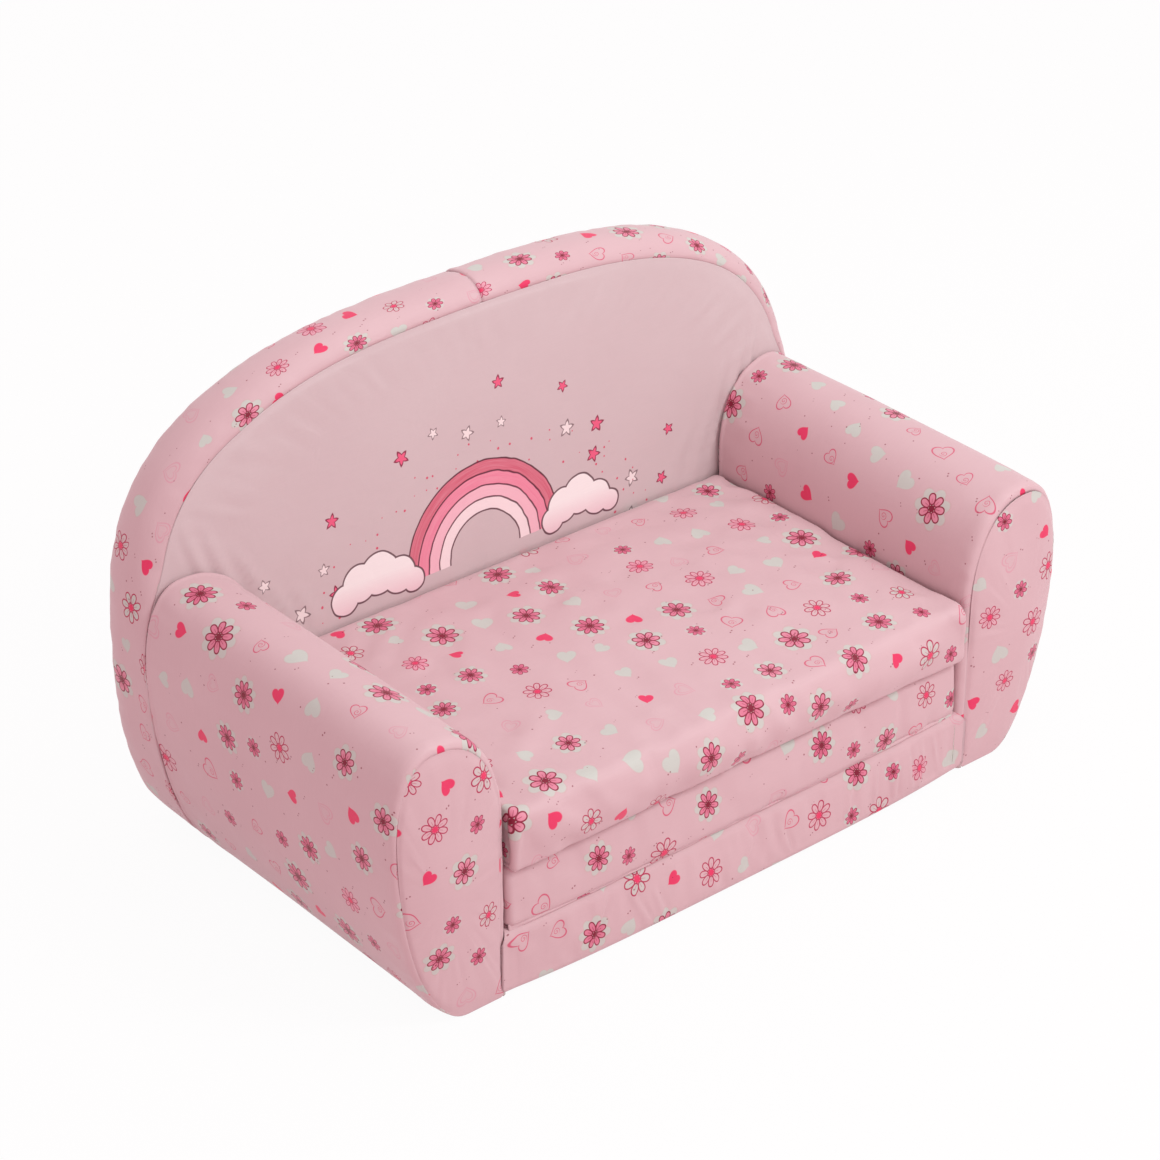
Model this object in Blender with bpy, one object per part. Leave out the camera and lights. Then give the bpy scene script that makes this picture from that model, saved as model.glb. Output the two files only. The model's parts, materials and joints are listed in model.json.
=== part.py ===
"""Fold-out foam play sofa for a small child, as an assembly of foam blocks, sewn covers, hinge cloths and zips.

Units are metres. X runs along the seat, Y from the front to the back and Z up. The origin is on the floor
under the middle of the sofa. The two arms, the arched back and the base are fixed to each other. The middle
pad is hinged to the base along its front edge, and the top pad is hinged to the middle pad along its rear
edge, so that the stack of three layers opens into a low mattress.

Each upholstered block is one closed surface, kept as a grid of points: rows follow the block's length and
columns follow its outline. The covers are parts of that surface with a cloth's thickness, and the foam is
the whole surface moved inwards by the cloth's thickness and a clearance.
"""

import math

import bmesh
import bpy
import numpy as np
from mathutils import Matrix

# Cloth and clearances
cloth_thickness = 0.0015
clearance = 0.0003

# Seat and layers
seat_width = 0.546
seat_depth = 0.345
pad_thickness = 0.060
pad_floor_clearance = 0.003
pad_side_clearance = 0.0015
pad_rear_clearance = 0.0010

# Arms
arm_height = 0.283
arm_width = 0.121
arm_crest_run = 0.074
arm_foot_run = 0.046
shoulder_height = 0.172
arm_front_bulge = 0.009
arm_roll_run = 0.014
arm_roll_top_drop = 0.009
arm_roll_outer_inset = 0.005
arm_roll_inner_inset = 0.0075
arm_top_power = 2.3

# Sides shared by the arms and the back
widest_height = 0.193
foot_power = 2.0

# Back
back_height = 0.460
back_thickness = 0.084
back_lean = 0.027
back_side_setback = 0.012
arch_power = 2.88
back_front_roll_run = 0.048
back_front_roll_inset = 0.020
back_rear_roll_run = 0.032
back_rear_roll_inset = 0.015
back_edge_start_height = 0.202
back_edge_full_height = 0.308
rear_low_roll_inset = 0.017

# Base
base_edge_radius = 0.010
base_low_edge_radius = 0.006
base_hem_run = 0.016
base_front_bow = 0.008

# Middle pad
middle_front_recess = 0.006
middle_front_crown = 0.008

# Top pad
top_front_reach = 0.005
top_front_crown = 0.010
top_front_draw = 0.003
top_crown = 0.007
pad_side_draw = 0.0015

# Edges of both pads
pad_edge_radius = 0.010
pad_seam_edge_radius = 0.004
pad_end_roll = 0.007

# Hinge cloths
hinge_cloth_thickness = 0.0008
hinge_cloth_depth = 0.002
hinge_cloth_margin = 0.0008
hinge_end_margin = 0.020

# Zips
zip_tape_height = 0.024
zip_tape_thickness = 0.0010
zip_coil_height = 0.006
zip_coil_thickness = 0.0014
zip_sink = 0.0009
pad_zip_end_margin = 0.0515
body_zip_end_margin = 0.039
body_zip_height = 0.085
slider_length = 0.011
slider_roof = 0.0016
slider_lip = 0.0012
slider_bevel = 0.0003
zip_stop_length = 0.002
cut_overrun = 0.005

# Steps of the curved stretches
foot_steps = 6
arm_top_steps = 6
arch_steps = 13
roll_steps = 4
pad_corner_steps = 3
disc_ring_shares = (0.0, 0.5, 0.82, 1.0)
gusset_ring_shares = (0.0, 0.6, 1.0)
station_shares = (0.22, 0.45, 0.68, 0.88)
pad_top_shares = (0.15, 0.38, 0.62, 0.85)
pad_front_shares = (0.33, 0.67)
base_front_shares = (0.25, 0.50, 0.75)
mitre_cutoff_share = 0.15
base_bow_power = 4
front_fade_power = 12
crown_power = 4

# Places that follow from the sizes
half_seat = seat_width / 2
half_width = half_seat + arm_width
half_foot = half_seat + arm_foot_run
skin_depth = cloth_thickness + clearance
base_height = pad_thickness + pad_floor_clearance
front_reach = top_front_reach + top_front_crown - top_front_draw
overall_depth = front_reach + seat_depth + back_thickness
arm_front_y = front_reach - overall_depth / 2
back_front_y = arm_front_y + seat_depth
back_rear_y = back_front_y + back_thickness
middle_bottom = base_height + clearance
top_bottom = middle_bottom + pad_thickness + clearance
seat_top = top_bottom + pad_thickness
arm_straight_y = arm_front_y + arm_roll_run
back_straight_y = back_rear_y - back_rear_roll_run
pad_rear_y = back_front_y - pad_rear_clearance
half_pad = half_seat - pad_side_clearance
slider_thickness = zip_coil_thickness + slider_roof
zip_groove_depth = zip_tape_thickness + slider_thickness + 2 * clearance + zip_sink

# Axes of the two folds, which let both pads lie level in front of the base
front_fold_y = arm_front_y - (base_front_bow + middle_front_crown - middle_front_recess + clearance) / 2
front_fold_z = base_height + clearance / 2
rear_fold_y = pad_rear_y + clearance / 2
rear_fold_z = top_bottom - clearance / 2

# Colours and finishes
print_pink = (0.72, 0.46, 0.49)
plain_pink = (0.68, 0.47, 0.50)
lining_pink = (0.75, 0.56, 0.58)
foam_white = (0.86, 0.85, 0.80)
zip_pink = (0.64, 0.33, 0.38)
zip_metal = (0.62, 0.60, 0.58)
cloth_roughness = 0.85
foam_roughness = 0.95
metal_roughness = 0.35
sharp_edge_degrees = 40
merge_distance = 0.000001


def clear_scene():
    """Empties the scene, so that only the sofa is in it."""
    for existing in list(bpy.data.objects):
        bpy.data.objects.remove(existing, do_unlink=True)


def finish(obj, colour, roughness, metallic=0.0):
    """Gives an object a material of its own and shades its rounded parts smooth."""
    material = bpy.data.materials.new(obj.name + "_finish")
    material.use_nodes = True
    shader = material.node_tree.nodes["Principled BSDF"]
    shader.inputs["Base Color"].default_value = (*colour, 1.0)
    shader.inputs["Roughness"].default_value = roughness
    shader.inputs["Metallic"].default_value = metallic
    obj.data.materials.append(material)
    obj.data.shade_smooth()
    obj.data.set_sharp_from_angle(angle=math.radians(sharp_edge_degrees))
    return obj


def joint_axis(name, place, carrier=None):
    """An empty on a joint's axis, which carries the pieces that move about or along it."""
    axis = bpy.data.objects.new(name, None)
    bpy.context.collection.objects.link(axis)
    axis.location = place
    if carrier:
        carry(carrier, [axis])
    return axis


def carry(axis, pieces):
    """Parents pieces to the empty on their joint's axis, and leaves them where they are."""
    for piece in pieces:
        piece.parent = axis
        piece.matrix_parent_inverse = Matrix.Translation(-axis.location)


def solid_object(name, points, faces):
    """Makes a closed mesh object from points and faces, with all faces pointing out."""
    mesh = bpy.data.meshes.new(name)
    mesh.from_pydata([tuple(point) for point in points], [], faces)
    shape = bmesh.new()
    shape.from_mesh(mesh)
    bmesh.ops.remove_doubles(shape, verts=shape.verts, dist=merge_distance)
    bmesh.ops.dissolve_degenerate(shape, edges=shape.edges, dist=merge_distance)
    bmesh.ops.recalc_face_normals(shape, faces=shape.faces)
    shape.to_mesh(mesh)
    shape.free()
    obj = bpy.data.objects.new(name, mesh)
    bpy.context.collection.objects.link(obj)
    return obj


def arc(centre, radii, start, end, steps, power=2.0):
    """Points of a superellipse arc about a centre, without the last one. Angles are in quarter turns."""
    angles = np.linspace(start, end, steps + 1)[:-1] * math.pi / 2
    cosines, sines = np.cos(angles), np.sin(angles)
    across = centre[0] + radii[0] * np.sign(cosines) * np.abs(cosines) ** (2 / power)
    up = centre[1] + radii[1] * np.sign(sines) * np.abs(sines) ** (2 / power)
    return np.stack([across, up], axis=1)


def quad_normals(grid, inside):
    """Unit normals of a grid's quads, pointing away from a point inside the block."""
    low_left, low_right = grid[:-1, :-1], grid[:-1, 1:]
    high_left, high_right = grid[1:, :-1], grid[1:, 1:]
    normals = np.cross(high_right - low_left, low_right - high_left)
    lengths = np.linalg.norm(normals, axis=-1, keepdims=True)
    units = np.where(lengths > 0, normals / np.maximum(lengths, np.finfo(float).tiny), 0)
    centres = (low_left + low_right + high_left + high_right) / 4
    return units if (units * (centres - inside)).sum() > 0 else -units


def offset_vectors(grid, inside):
    """For each point of a closed block's grid, the vector that moves every face beside it outwards by one."""
    rows, columns = grid.shape[:2]
    units = quad_normals(np.concatenate([grid, grid[:, :1]], axis=1), inside)
    beside = np.zeros((rows, columns, 4, 3))
    for slot, (row_step, column_step) in enumerate(((0, 0), (1, 0), (1, 1), (0, 1))):
        row_index = np.arange(units.shape[0])[:, None] + row_step
        column_index = (np.arange(units.shape[1])[None, :] + column_step) % columns
        beside[row_index, column_index, slot] = units
    wanted = (np.linalg.norm(beside, axis=-1) > 0).astype(float)
    vectors = (np.linalg.pinv(beside, rcond=mitre_cutoff_share) @ wanted[..., None])[..., 0]
    for row in (0, -1):
        if np.ptp(grid[row], axis=0).max() < merge_distance:
            mean = vectors[row].mean(axis=0)
            vectors[row] = mean / np.linalg.norm(mean)
    return vectors


def pulled(grid, axis, edge, distance):
    """Moves one edge of a grid towards the row or column beside it, so that a seam has a gap."""
    turned = np.moveaxis(grid, axis, 0).copy()
    beside = 1 if edge == 0 else -2
    step = turned[beside] - turned[edge]
    lengths = np.linalg.norm(step, axis=-1, keepdims=True)
    turned[edge] += step * distance / lengths
    return np.moveaxis(turned, 0, axis)


def quads(rows, columns, wraps, first):
    """Faces of a grid whose first point has the given index."""
    faces = []
    for row in range(rows - 1):
        for column in range(columns if wraps else columns - 1):
            beside = (column + 1) % columns
            low, high = first + row * columns, first + (row + 1) * columns
            faces.append((low + column, high + column, high + beside, low + beside))
    return faces


def strip(first_edge, second_edge, wraps):
    """Faces between two rows of point numbers."""
    count = len(first_edge)
    pairs = range(count if wraps else count - 1)
    return [
        (first_edge[k], first_edge[(k + 1) % count], second_edge[(k + 1) % count], second_edge[k])
        for k in pairs
    ]


def cover(name, grid, vectors, colour, wraps=False, poles=(), gaps=(0, 0, 0, 0)):
    """A sewn panel: part of a block's surface with the cloth's thickness inwards.

    gaps are the distances by which the first row, last row, first column and last column stay back from
    their seams. poles names the rows, first or last, that are one point.
    """
    for axis, edge, distance in ((0, 0, gaps[0]), (0, -1, gaps[1]), (1, 0, gaps[2]), (1, -1, gaps[3])):
        if distance > 0:
            grid = pulled(grid, axis, edge, distance)
    rows, columns = grid.shape[:2]
    inner = grid - vectors * cloth_thickness
    numbers = np.arange(rows * columns).reshape(rows, columns)
    faces = quads(rows, columns, wraps, 0) + quads(rows, columns, wraps, rows * columns)
    for row, pole in ((0, "first"), (-1, "last")):
        if pole not in poles:
            faces += strip(numbers[row], numbers[row] + rows * columns, wraps)
    if not wraps:
        for column in (0, -1):
            faces += strip(numbers[:, column], numbers[:, column] + rows * columns, False)
    points = np.concatenate([grid.reshape(-1, 3), inner.reshape(-1, 3)])
    return finish(solid_object(name, points, faces), colour, cloth_roughness)


def foam(name, grid, vectors):
    """A foam block: the whole closed surface, moved inwards to leave room for its covers."""
    rows, columns = grid.shape[:2]
    core = grid - vectors * skin_depth
    faces = quads(rows, columns, True, 0)
    for row in (0, rows - 1):
        if np.ptp(grid[row], axis=0).max() > merge_distance:
            faces.append(tuple(row * columns + np.arange(columns)))
    return finish(solid_object(name, core.reshape(-1, 3), faces), foam_white, foam_roughness)


def prism(name, section, low_x, high_x, colour, roughness, metallic=0.0):
    """A bar of constant section, given in Y and Z, between two places along X."""
    count = len(section)
    points = [(x, y, z) for x in (low_x, high_x) for y, z in section]
    sides = strip(np.arange(count), np.arange(count) + count, True)
    faces = sides + [tuple(range(count)), tuple(range(count, 2 * count))]
    return finish(solid_object(name, points, faces), colour, roughness, metallic)


def set_back(place):
    """How far a place moves towards the rear, because the back leans and turns its sides away from the seat."""
    rise = max(place.z - seat_top, 0.0) / (back_height - seat_top)
    beside = max(abs(place.x) - half_seat, 0.0) / arm_width
    if place.y > back_front_y:
        fade = (back_straight_y - place.y) / (back_straight_y - back_front_y)
    else:
        fade = (place.y - arm_straight_y) / (back_front_y - arm_straight_y)
    return (back_lean * rise + back_side_setback * beside) * min(max(fade, 0.0), 1.0)


def lean(obj):
    """Moves a piece's points by their set-back, after cutting its faces where the set-back changes its slope."""
    shape = bmesh.new()
    shape.from_mesh(obj.data)
    creases = [((0, 0, seat_top), (0, 0, 1)), ((half_seat, 0, 0), (1, 0, 0)), ((-half_seat, 0, 0), (1, 0, 0))]
    for place, normal in creases:
        everything = [*shape.verts, *shape.edges, *shape.faces]
        bmesh.ops.bisect_plane(
            shape, geom=everything, dist=merge_distance, plane_co=place, plane_no=normal
        )
    for vert in shape.verts:
        vert.co.y += set_back(vert.co)
    shape.to_mesh(obj.data)
    shape.free()


def rounded(share):
    """How far an edge that rolls over as a quarter circle is still inset, at a share of its run."""
    return 1 - math.sqrt(max(0.0, 1 - (1 - share) ** 2))


def roll_shares():
    """Shares of an edge's run at equal angles, from its seam to where it runs straight."""
    return [1 - math.cos(step / roll_steps * math.pi / 2) for step in range(roll_steps + 1)]


def arm_outline(outer_inset, top_drop, inner_inset):
    """Section of an arm across X and Z, from its foot over the top and down the inner side."""
    outer_run = arm_width - arm_crest_run - outer_inset
    inner_run = arm_crest_run - inner_inset
    top = arm_height - top_drop
    foot_run = arm_width - arm_foot_run - outer_inset
    foot = arc((arm_foot_run, widest_height), (foot_run, widest_height), -1, 0, foot_steps, foot_power)
    outer = arc(
        (arm_crest_run, widest_height), (outer_run, top - widest_height), 0, 1, arm_top_steps, arm_top_power
    )
    inner = arc(
        (arm_crest_run, shoulder_height), (inner_run, top - shoulder_height), 1, 2, arm_top_steps, arm_top_power
    )
    side = [(inner_inset, shoulder_height), (inner_inset, skin_depth), (inner_inset, 0)]
    return np.concatenate([foot, outer, inner, side])


def arm_grid(side):
    """Surface of one arm: rings of its front panel, the rolled front edge and the straight length."""
    full = arm_outline(0, 0, 0)
    seam = arm_outline(arm_roll_outer_inset, arm_roll_top_drop, arm_roll_inner_inset)
    middle = np.array([arm_crest_run, (arm_height - arm_roll_top_drop) / 2])
    rows = []
    for share in disc_ring_shares:
        bulge = arm_front_bulge * (1 - share**2)
        rows.append((middle + (seam - middle) * share, arm_front_y - bulge))
    for share in roll_shares()[1:]:
        rows.append((full + (seam - full) * rounded(share), arm_front_y + arm_roll_run * share))
    rows.append((full, back_front_y - clearance))
    grid = [
        np.stack([side * (half_seat + loop[:, 0]), np.full(len(loop), y), loop[:, 1]], axis=1)
        for loop, y in rows
    ]
    return np.stack(grid)


def build_arm(word, side):
    """One arm: foam, front panel, and one wrap over the outer side, the top and the inner side."""
    grid = arm_grid(side)
    inside = np.array([side * (half_seat + arm_crest_run), (arm_front_y + back_front_y) / 2, shoulder_height / 2])
    vectors = offset_vectors(grid, inside)
    seam = len(disc_ring_shares) - 1
    gap = clearance / 2
    lean(foam(word + "_arm_foam", grid, vectors))
    disc = (grid[: seam + 1], vectors[: seam + 1])
    cover(word + "_arm_front_panel", *disc, print_pink, wraps=True, poles=("first",), gaps=(0, gap, 0, 0))
    length = (grid[seam:, :-1], vectors[seam:, :-1])
    lean(cover(word + "_arm_wrap", *length, print_pink, gaps=(gap, 0, gap, 0)))


def back_outline(inset):
    """Half of the back's outline across X and Z, from its foot to the crest of the arch."""
    foot = arc(
        (half_foot, widest_height), (half_width - half_foot, widest_height), -1, 0, foot_steps, foot_power
    )
    arch = arc((0, widest_height), (half_width, back_height - widest_height), 0, 1, arch_steps, arch_power)
    crest = [(0, back_height)]
    half = np.concatenate([foot, arch, crest])
    steps = np.gradient(half, axis=0)
    inwards = np.stack([-steps[:, 1], steps[:, 0]], axis=1)
    inwards /= np.linalg.norm(inwards, axis=1, keepdims=True)
    inwards[0] = (0, 1)
    inwards[-1] = (0, -1)
    amount = np.array([inset(height) for height in half[:, 1]])[:, None]
    moved = half + inwards * amount
    moved[0] = half[0]
    return moved


def edge_inset(high_inset, low_inset):
    """An inset that grows from its low value beside the arms to its full value above them."""

    def at(height):
        share = (height - back_edge_start_height) / (back_edge_full_height - back_edge_start_height)
        share = min(max(share, 0.0), 1.0)
        blend = share * share * (3 - 2 * share)
        return (low_inset + (high_inset - low_inset) * blend) * min(height / widest_height, 1.0)

    return at


def back_grid():
    """Surface of the back: flat front, rolled front edge, rolled rear edge and flat rear."""
    full = back_outline(lambda height: 0.0)
    front = back_outline(edge_inset(back_front_roll_inset, 0.0))
    rear = back_outline(edge_inset(back_rear_roll_inset, rear_low_roll_inset))
    rows = [(front, back_front_y, 0.0)]
    rows += [(front, back_front_y, 1.0)]
    for share in roll_shares()[1:]:
        rows.append((full + (front - full) * rounded(share), back_front_y + back_front_roll_run * share, 1.0))
    for share in reversed(roll_shares()[1:]):
        rows.append((full + (rear - full) * rounded(share), back_rear_y - back_rear_roll_run * share, 1.0))
    rows += [(rear, back_rear_y, 1.0)]
    rows += [(rear, back_rear_y, 0.0)]
    middle = np.array([0, widest_height])
    grid = []
    for half, y, share in rows:
        loop = np.concatenate([half, half[-2::-1] * (-1, 1)])
        loop = middle + (loop - middle) * share
        grid.append(np.stack([loop[:, 0], np.full(len(loop), y), loop[:, 1]], axis=1))
    return np.stack(grid)


def build_back():
    """The arched back: foam, front and rear panels, and a border strip in two halves sewn at the crest."""
    grid = back_grid()
    inside = np.array([0, (back_front_y + back_rear_y) / 2, back_height / 2])
    vectors = offset_vectors(grid, inside)
    crest = grid.shape[1] // 2
    gap = clearance / 2
    block = foam("back_foam", grid, vectors)
    lean(block)
    front = grid[:2].copy()
    front[..., 2] = np.maximum(front[..., 2], skin_depth)
    panel = (front, vectors[:2])
    lean(cover("back_front_panel", *panel, plain_pink, wraps=True, poles=("first",), gaps=(0, gap, 0, 0)))
    panel = (grid[-2:], vectors[-2:])
    rear = cover("back_rear_panel", *panel, print_pink, wraps=True, poles=("last",), gaps=(gap, 0, 0, 0))
    gaps = (gap, gap, gap, gap)
    for word, columns in (("right", slice(0, crest + 1)), ("left", slice(crest, None))):
        half = (grid[1:-1, columns], vectors[1:-1, columns])
        lean(cover("back_border_strip_" + word, *half, print_pink, gaps=gaps))
    build_zip("body", (block, rear), back_rear_y, body_zip_height, half_foot - body_zip_end_margin)


def base_outline():
    """Section of the base across Y and Z, from its rear top edge over the rounded front to its rear bottom."""
    radius, low_radius = base_edge_radius, base_low_edge_radius
    top, front, rear = base_height, arm_front_y, back_front_y - clearance
    high = arc((front + radius, top - radius), (radius, radius), 1, 2, pad_corner_steps)
    face_height = top - radius - low_radius
    face = [(front, top - radius - face_height * share) for share in (0.0, *base_front_shares)]
    low = arc((front + low_radius, low_radius), (low_radius, low_radius), 2, 3, pad_corner_steps)
    hem = [(front + low_radius, 0), (front + base_hem_run, 0)]
    return np.array([(rear, top), *high, *face, *low, *hem, (rear, 0)])


def base_grid():
    """Surface of the base: its section along the seat, with a front that bows out towards the floor."""
    outline = base_outline()
    reach = half_seat - clearance
    half_places = [reach] + [reach * share for share in reversed(station_shares)]
    places = half_places + [0] + [-x for x in reversed(half_places)]
    grid = np.stack([np.column_stack([np.full(len(outline), x), outline]) for x in places])
    x, y, z = np.moveaxis(grid, -1, 0)
    swell = 1 - (np.abs(x) / reach) ** base_bow_power
    low = 1 - (z / base_height) ** 2
    hem_y = arm_front_y + base_hem_run
    ahead = np.clip((hem_y - y) / (base_hem_run - base_low_edge_radius), 0.0, 1.0)
    return np.stack([x, y - base_front_bow * swell * low * ahead, z], axis=-1)


def build_base():
    """The fixed base under the pads: foam, front panel, deck cloth, and the cloth under the whole sofa."""
    grid = base_grid()
    inside = np.array([0, (arm_front_y + back_front_y) / 2, base_height / 2])
    vectors = offset_vectors(grid, inside)
    gap = clearance / 2
    foam("base_foam", grid, vectors)
    cover("base_deck_cloth", grid[:, :2], vectors[:, :2], lining_pink, gaps=(0, 0, 0, gap))
    cover("base_front_panel", grid[:, 1:-1], vectors[:, 1:-1], print_pink, gaps=(0, 0, gap, gap))
    build_underside()


def build_underside():
    """The plain cloth that closes the sofa underneath, and which it stands on."""
    low_y = arm_front_y + base_hem_run + clearance
    high_y = back_rear_y - skin_depth
    section = [(low_y, 0), (high_y, 0), (high_y, cloth_thickness), (low_y, cloth_thickness)]
    reach = half_foot - clearance
    prism("underside_cloth", section, -reach, reach, lining_pink, cloth_roughness)


def pad_outline(front, rear, low, high, radius):
    """Section of a pad across Y and Z: a rectangle with rounded edges, starting at its lower front edge."""
    inner_front, inner_rear = front + radius, rear - radius
    inner_low, inner_high = low + radius, high - radius
    radii, steps = (radius, radius), pad_corner_steps
    points = [*arc((inner_front, inner_low), radii, 2, 3, steps), (inner_front, low)]
    points += [*arc((inner_rear, inner_low), radii, 3, 4, steps), (rear, inner_low)]
    points += [*arc((inner_rear, inner_high), radii, 0, 1, steps), (inner_rear, high)]
    points += [(inner_rear + (inner_front - inner_rear) * share, high) for share in pad_top_shares]
    points += [*arc((inner_front, inner_high), radii, 1, 2, steps), (front, inner_high)]
    points += [(front, inner_high + (inner_low - inner_high) * share) for share in pad_front_shares]
    return np.array(points)


def cushioned(grid, front, low, front_crown, crown, front_draw):
    """Gives a pad its crown, its rounded front and its drawn-in sides."""
    x, y, z = np.moveaxis(grid, -1, 0)
    along = np.abs(x) / half_pad
    swell = 1 - np.minimum(along, 1.0) ** crown_power
    depth = pad_rear_y - front
    across = np.clip((y - front) / depth, 0.0, 1.0) * 2 - 1
    height = (z - low) / pad_thickness
    near_front = np.clip((pad_rear_y - y) / depth, 0.0, 1.0) ** front_fade_power
    middle = 1 - (2 * height - 1) ** 2
    forward = (front_crown * middle**2 * swell - front_draw * (1 - along**2)) * near_front
    raised = crown * swell * (1 - across**2) * height**2
    drawn = np.sign(x) * pad_side_draw * (1 - across**2) * middle * along**crown_power
    return np.stack([x - drawn, y - forward, z + raised], axis=-1)


def pad_grid(front, low, front_crown, crown, front_draw):
    """Surface of one pad: a gusset, a rolled edge, the length of the seat, a rolled edge and a gusset."""
    high = low + pad_thickness
    full = pad_outline(front, pad_rear_y, low, high, pad_edge_radius)
    roll = pad_end_roll
    seam = pad_outline(front + roll, pad_rear_y - roll, low + roll, high - roll, pad_seam_edge_radius)
    middle = np.array([(front + pad_rear_y) / 2, (low + high) / 2])
    half_rows = [(middle + (seam - middle) * share, half_pad) for share in gusset_ring_shares]
    for share in roll_shares()[1:]:
        half_rows.append((full + (seam - full) * rounded(share), half_pad - roll * share))
    straight = half_pad - roll
    half_rows += [(full, straight * share) for share in reversed(station_shares)]
    rows = half_rows + [(full, 0)] + [(loop, -x) for loop, x in reversed(half_rows)]
    grid = np.stack([np.column_stack([np.full(len(loop), x), loop]) for loop, x in rows])
    return cushioned(grid, front, low, front_crown, crown, front_draw)


def build_pad(word, front, low, front_crown, crown, front_draw):
    """One loose pad: foam, a cover wrapped round it, a gusset at each end, and a zip in its rear side."""
    grid = pad_grid(front, low, front_crown, crown, front_draw)
    inside = np.array([0, (front + pad_rear_y) / 2, low + pad_thickness / 2])
    vectors = offset_vectors(grid, inside)
    seam = len(gusset_ring_shares) - 1
    gap = clearance / 2
    block = foam(word + "_pad_foam", grid, vectors)
    tube = (grid[seam:-seam], vectors[seam:-seam])
    wrap = cover(word + "_pad_wrap", *tube, print_pink, wraps=True, gaps=(gap, gap, 0, 0))
    end = (grid[: seam + 1], vectors[: seam + 1])
    gaps = (0, gap, 0, 0)
    right = cover(word + "_pad_gusset_right", *end, print_pink, wraps=True, poles=("first",), gaps=gaps)
    end = (grid[-seam - 1 :], vectors[-seam - 1 :])
    gaps = (gap, 0, 0, 0)
    left = cover(word + "_pad_gusset_left", *end, print_pink, wraps=True, poles=("last",), gaps=gaps)
    half_zip = half_pad - pad_zip_end_margin
    tape, slider_axis = build_zip(word + "_pad", (block, wrap), pad_rear_y, low + pad_thickness / 2, half_zip)
    return [block, wrap, right, left, tape, slider_axis]


def edge_gap(radius, depth):
    """How far a rounded edge has drawn back from its face's plane, at a depth behind its front."""
    return radius - math.sqrt(radius**2 - max(radius - depth, 0.0) ** 2)


def build_hinge_cloths():
    """The strips of cloth that join base to middle pad in front, and middle pad to top pad at the rear."""
    reach = half_pad - pad_end_roll - hinge_end_margin
    y = arm_front_y + middle_front_recess + hinge_cloth_depth
    low = base_height - edge_gap(base_edge_radius, y - arm_front_y) + clearance
    high = middle_bottom + edge_gap(pad_edge_radius, hinge_cloth_depth + hinge_cloth_margin)
    section = [(y - hinge_cloth_thickness, low), (y, low), (y, high), (y - hinge_cloth_thickness, high)]
    prism("front_hinge_cloth", section, -reach, reach, print_pink, cloth_roughness)
    y = pad_rear_y - hinge_cloth_depth
    drop = edge_gap(pad_edge_radius, hinge_cloth_depth) - clearance
    low, high = top_bottom - clearance - drop, top_bottom + drop
    section = [(y, low), (y + hinge_cloth_thickness, low), (y + hinge_cloth_thickness, high), (y, high)]
    return prism("rear_hinge_cloth", section, -reach, reach, lining_pink, cloth_roughness)


def cut_groove(obj, rear_y, height, half_length):
    """Cuts the shallow groove of a zip out of a block or a cover."""
    half_height = zip_tape_height / 2 + clearance
    section = [
        (rear_y - zip_groove_depth, height - half_height),
        (rear_y + cut_overrun, height - half_height),
        (rear_y + cut_overrun, height + half_height),
        (rear_y - zip_groove_depth, height + half_height),
    ]
    reach = half_length + clearance
    cutter = prism(obj.name + "_zip_cutter", section, -reach, reach, zip_pink, cloth_roughness)
    cutter.hide_render = True
    cutter.display_type = "WIRE"
    cutter.parent = obj
    groove = obj.modifiers.new("zip_groove", "BOOLEAN")
    groove.operation = "DIFFERENCE"
    groove.solver = "EXACT"
    groove.object = cutter


def build_zip(word, carriers, rear_y, height, half_length):
    """A zip sunk in a rear side: a tape with its coil, and a slider without a tab that runs along the coil.

    Returns the tape, and the empty on the coil's line that carries the slider.
    """
    for carrier in carriers:
        cut_groove(carrier, rear_y, height, half_length)
    floor_y = rear_y - zip_groove_depth + clearance
    tape_y = floor_y + zip_tape_thickness
    coil_y = tape_y + zip_coil_thickness
    half_tape, half_coil = zip_tape_height / 2, zip_coil_height / 2
    section = [
        (floor_y, height - half_tape),
        (tape_y, height - half_tape),
        (tape_y, height - half_coil),
        (coil_y, height - half_coil),
        (coil_y, height + half_coil),
        (tape_y, height + half_coil),
        (tape_y, height + half_tape),
        (floor_y, height + half_tape),
    ]
    tape = prism(word + "_zip_tape", section, -half_length, half_length, zip_pink, cloth_roughness)
    low_x = zip_stop_length - half_length
    slider = build_slider(word, tape_y + clearance, coil_y + clearance, height, low_x)
    axis = joint_axis(word + "_zip_slide", (low_x + slider_length / 2, coil_y, height))
    carry(axis, [slider])
    return tape, axis


def build_slider(word, low_y, roof_y, height, low_x):
    """A zip's slider: a flat shell with a channel that rides over the coil."""
    high_y = low_y + slider_thickness
    half_channel = zip_coil_height / 2 + clearance
    half_body = half_channel + slider_lip
    section = [
        (low_y, height - half_body),
        (high_y, height - half_body),
        (high_y, height + half_body),
        (low_y, height + half_body),
        (low_y, height + half_channel),
        (roof_y, height + half_channel),
        (roof_y, height - half_channel),
        (low_y, height - half_channel),
    ]
    slider = prism(
        word + "_zip_slider", section, low_x, low_x + slider_length, zip_metal, metal_roughness, metallic=1.0
    )
    edge = slider.modifiers.new("soft_edges", "BEVEL")
    edge.width = slider_bevel
    edge.segments = 1
    edge.limit_method = "ANGLE"
    return slider


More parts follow.
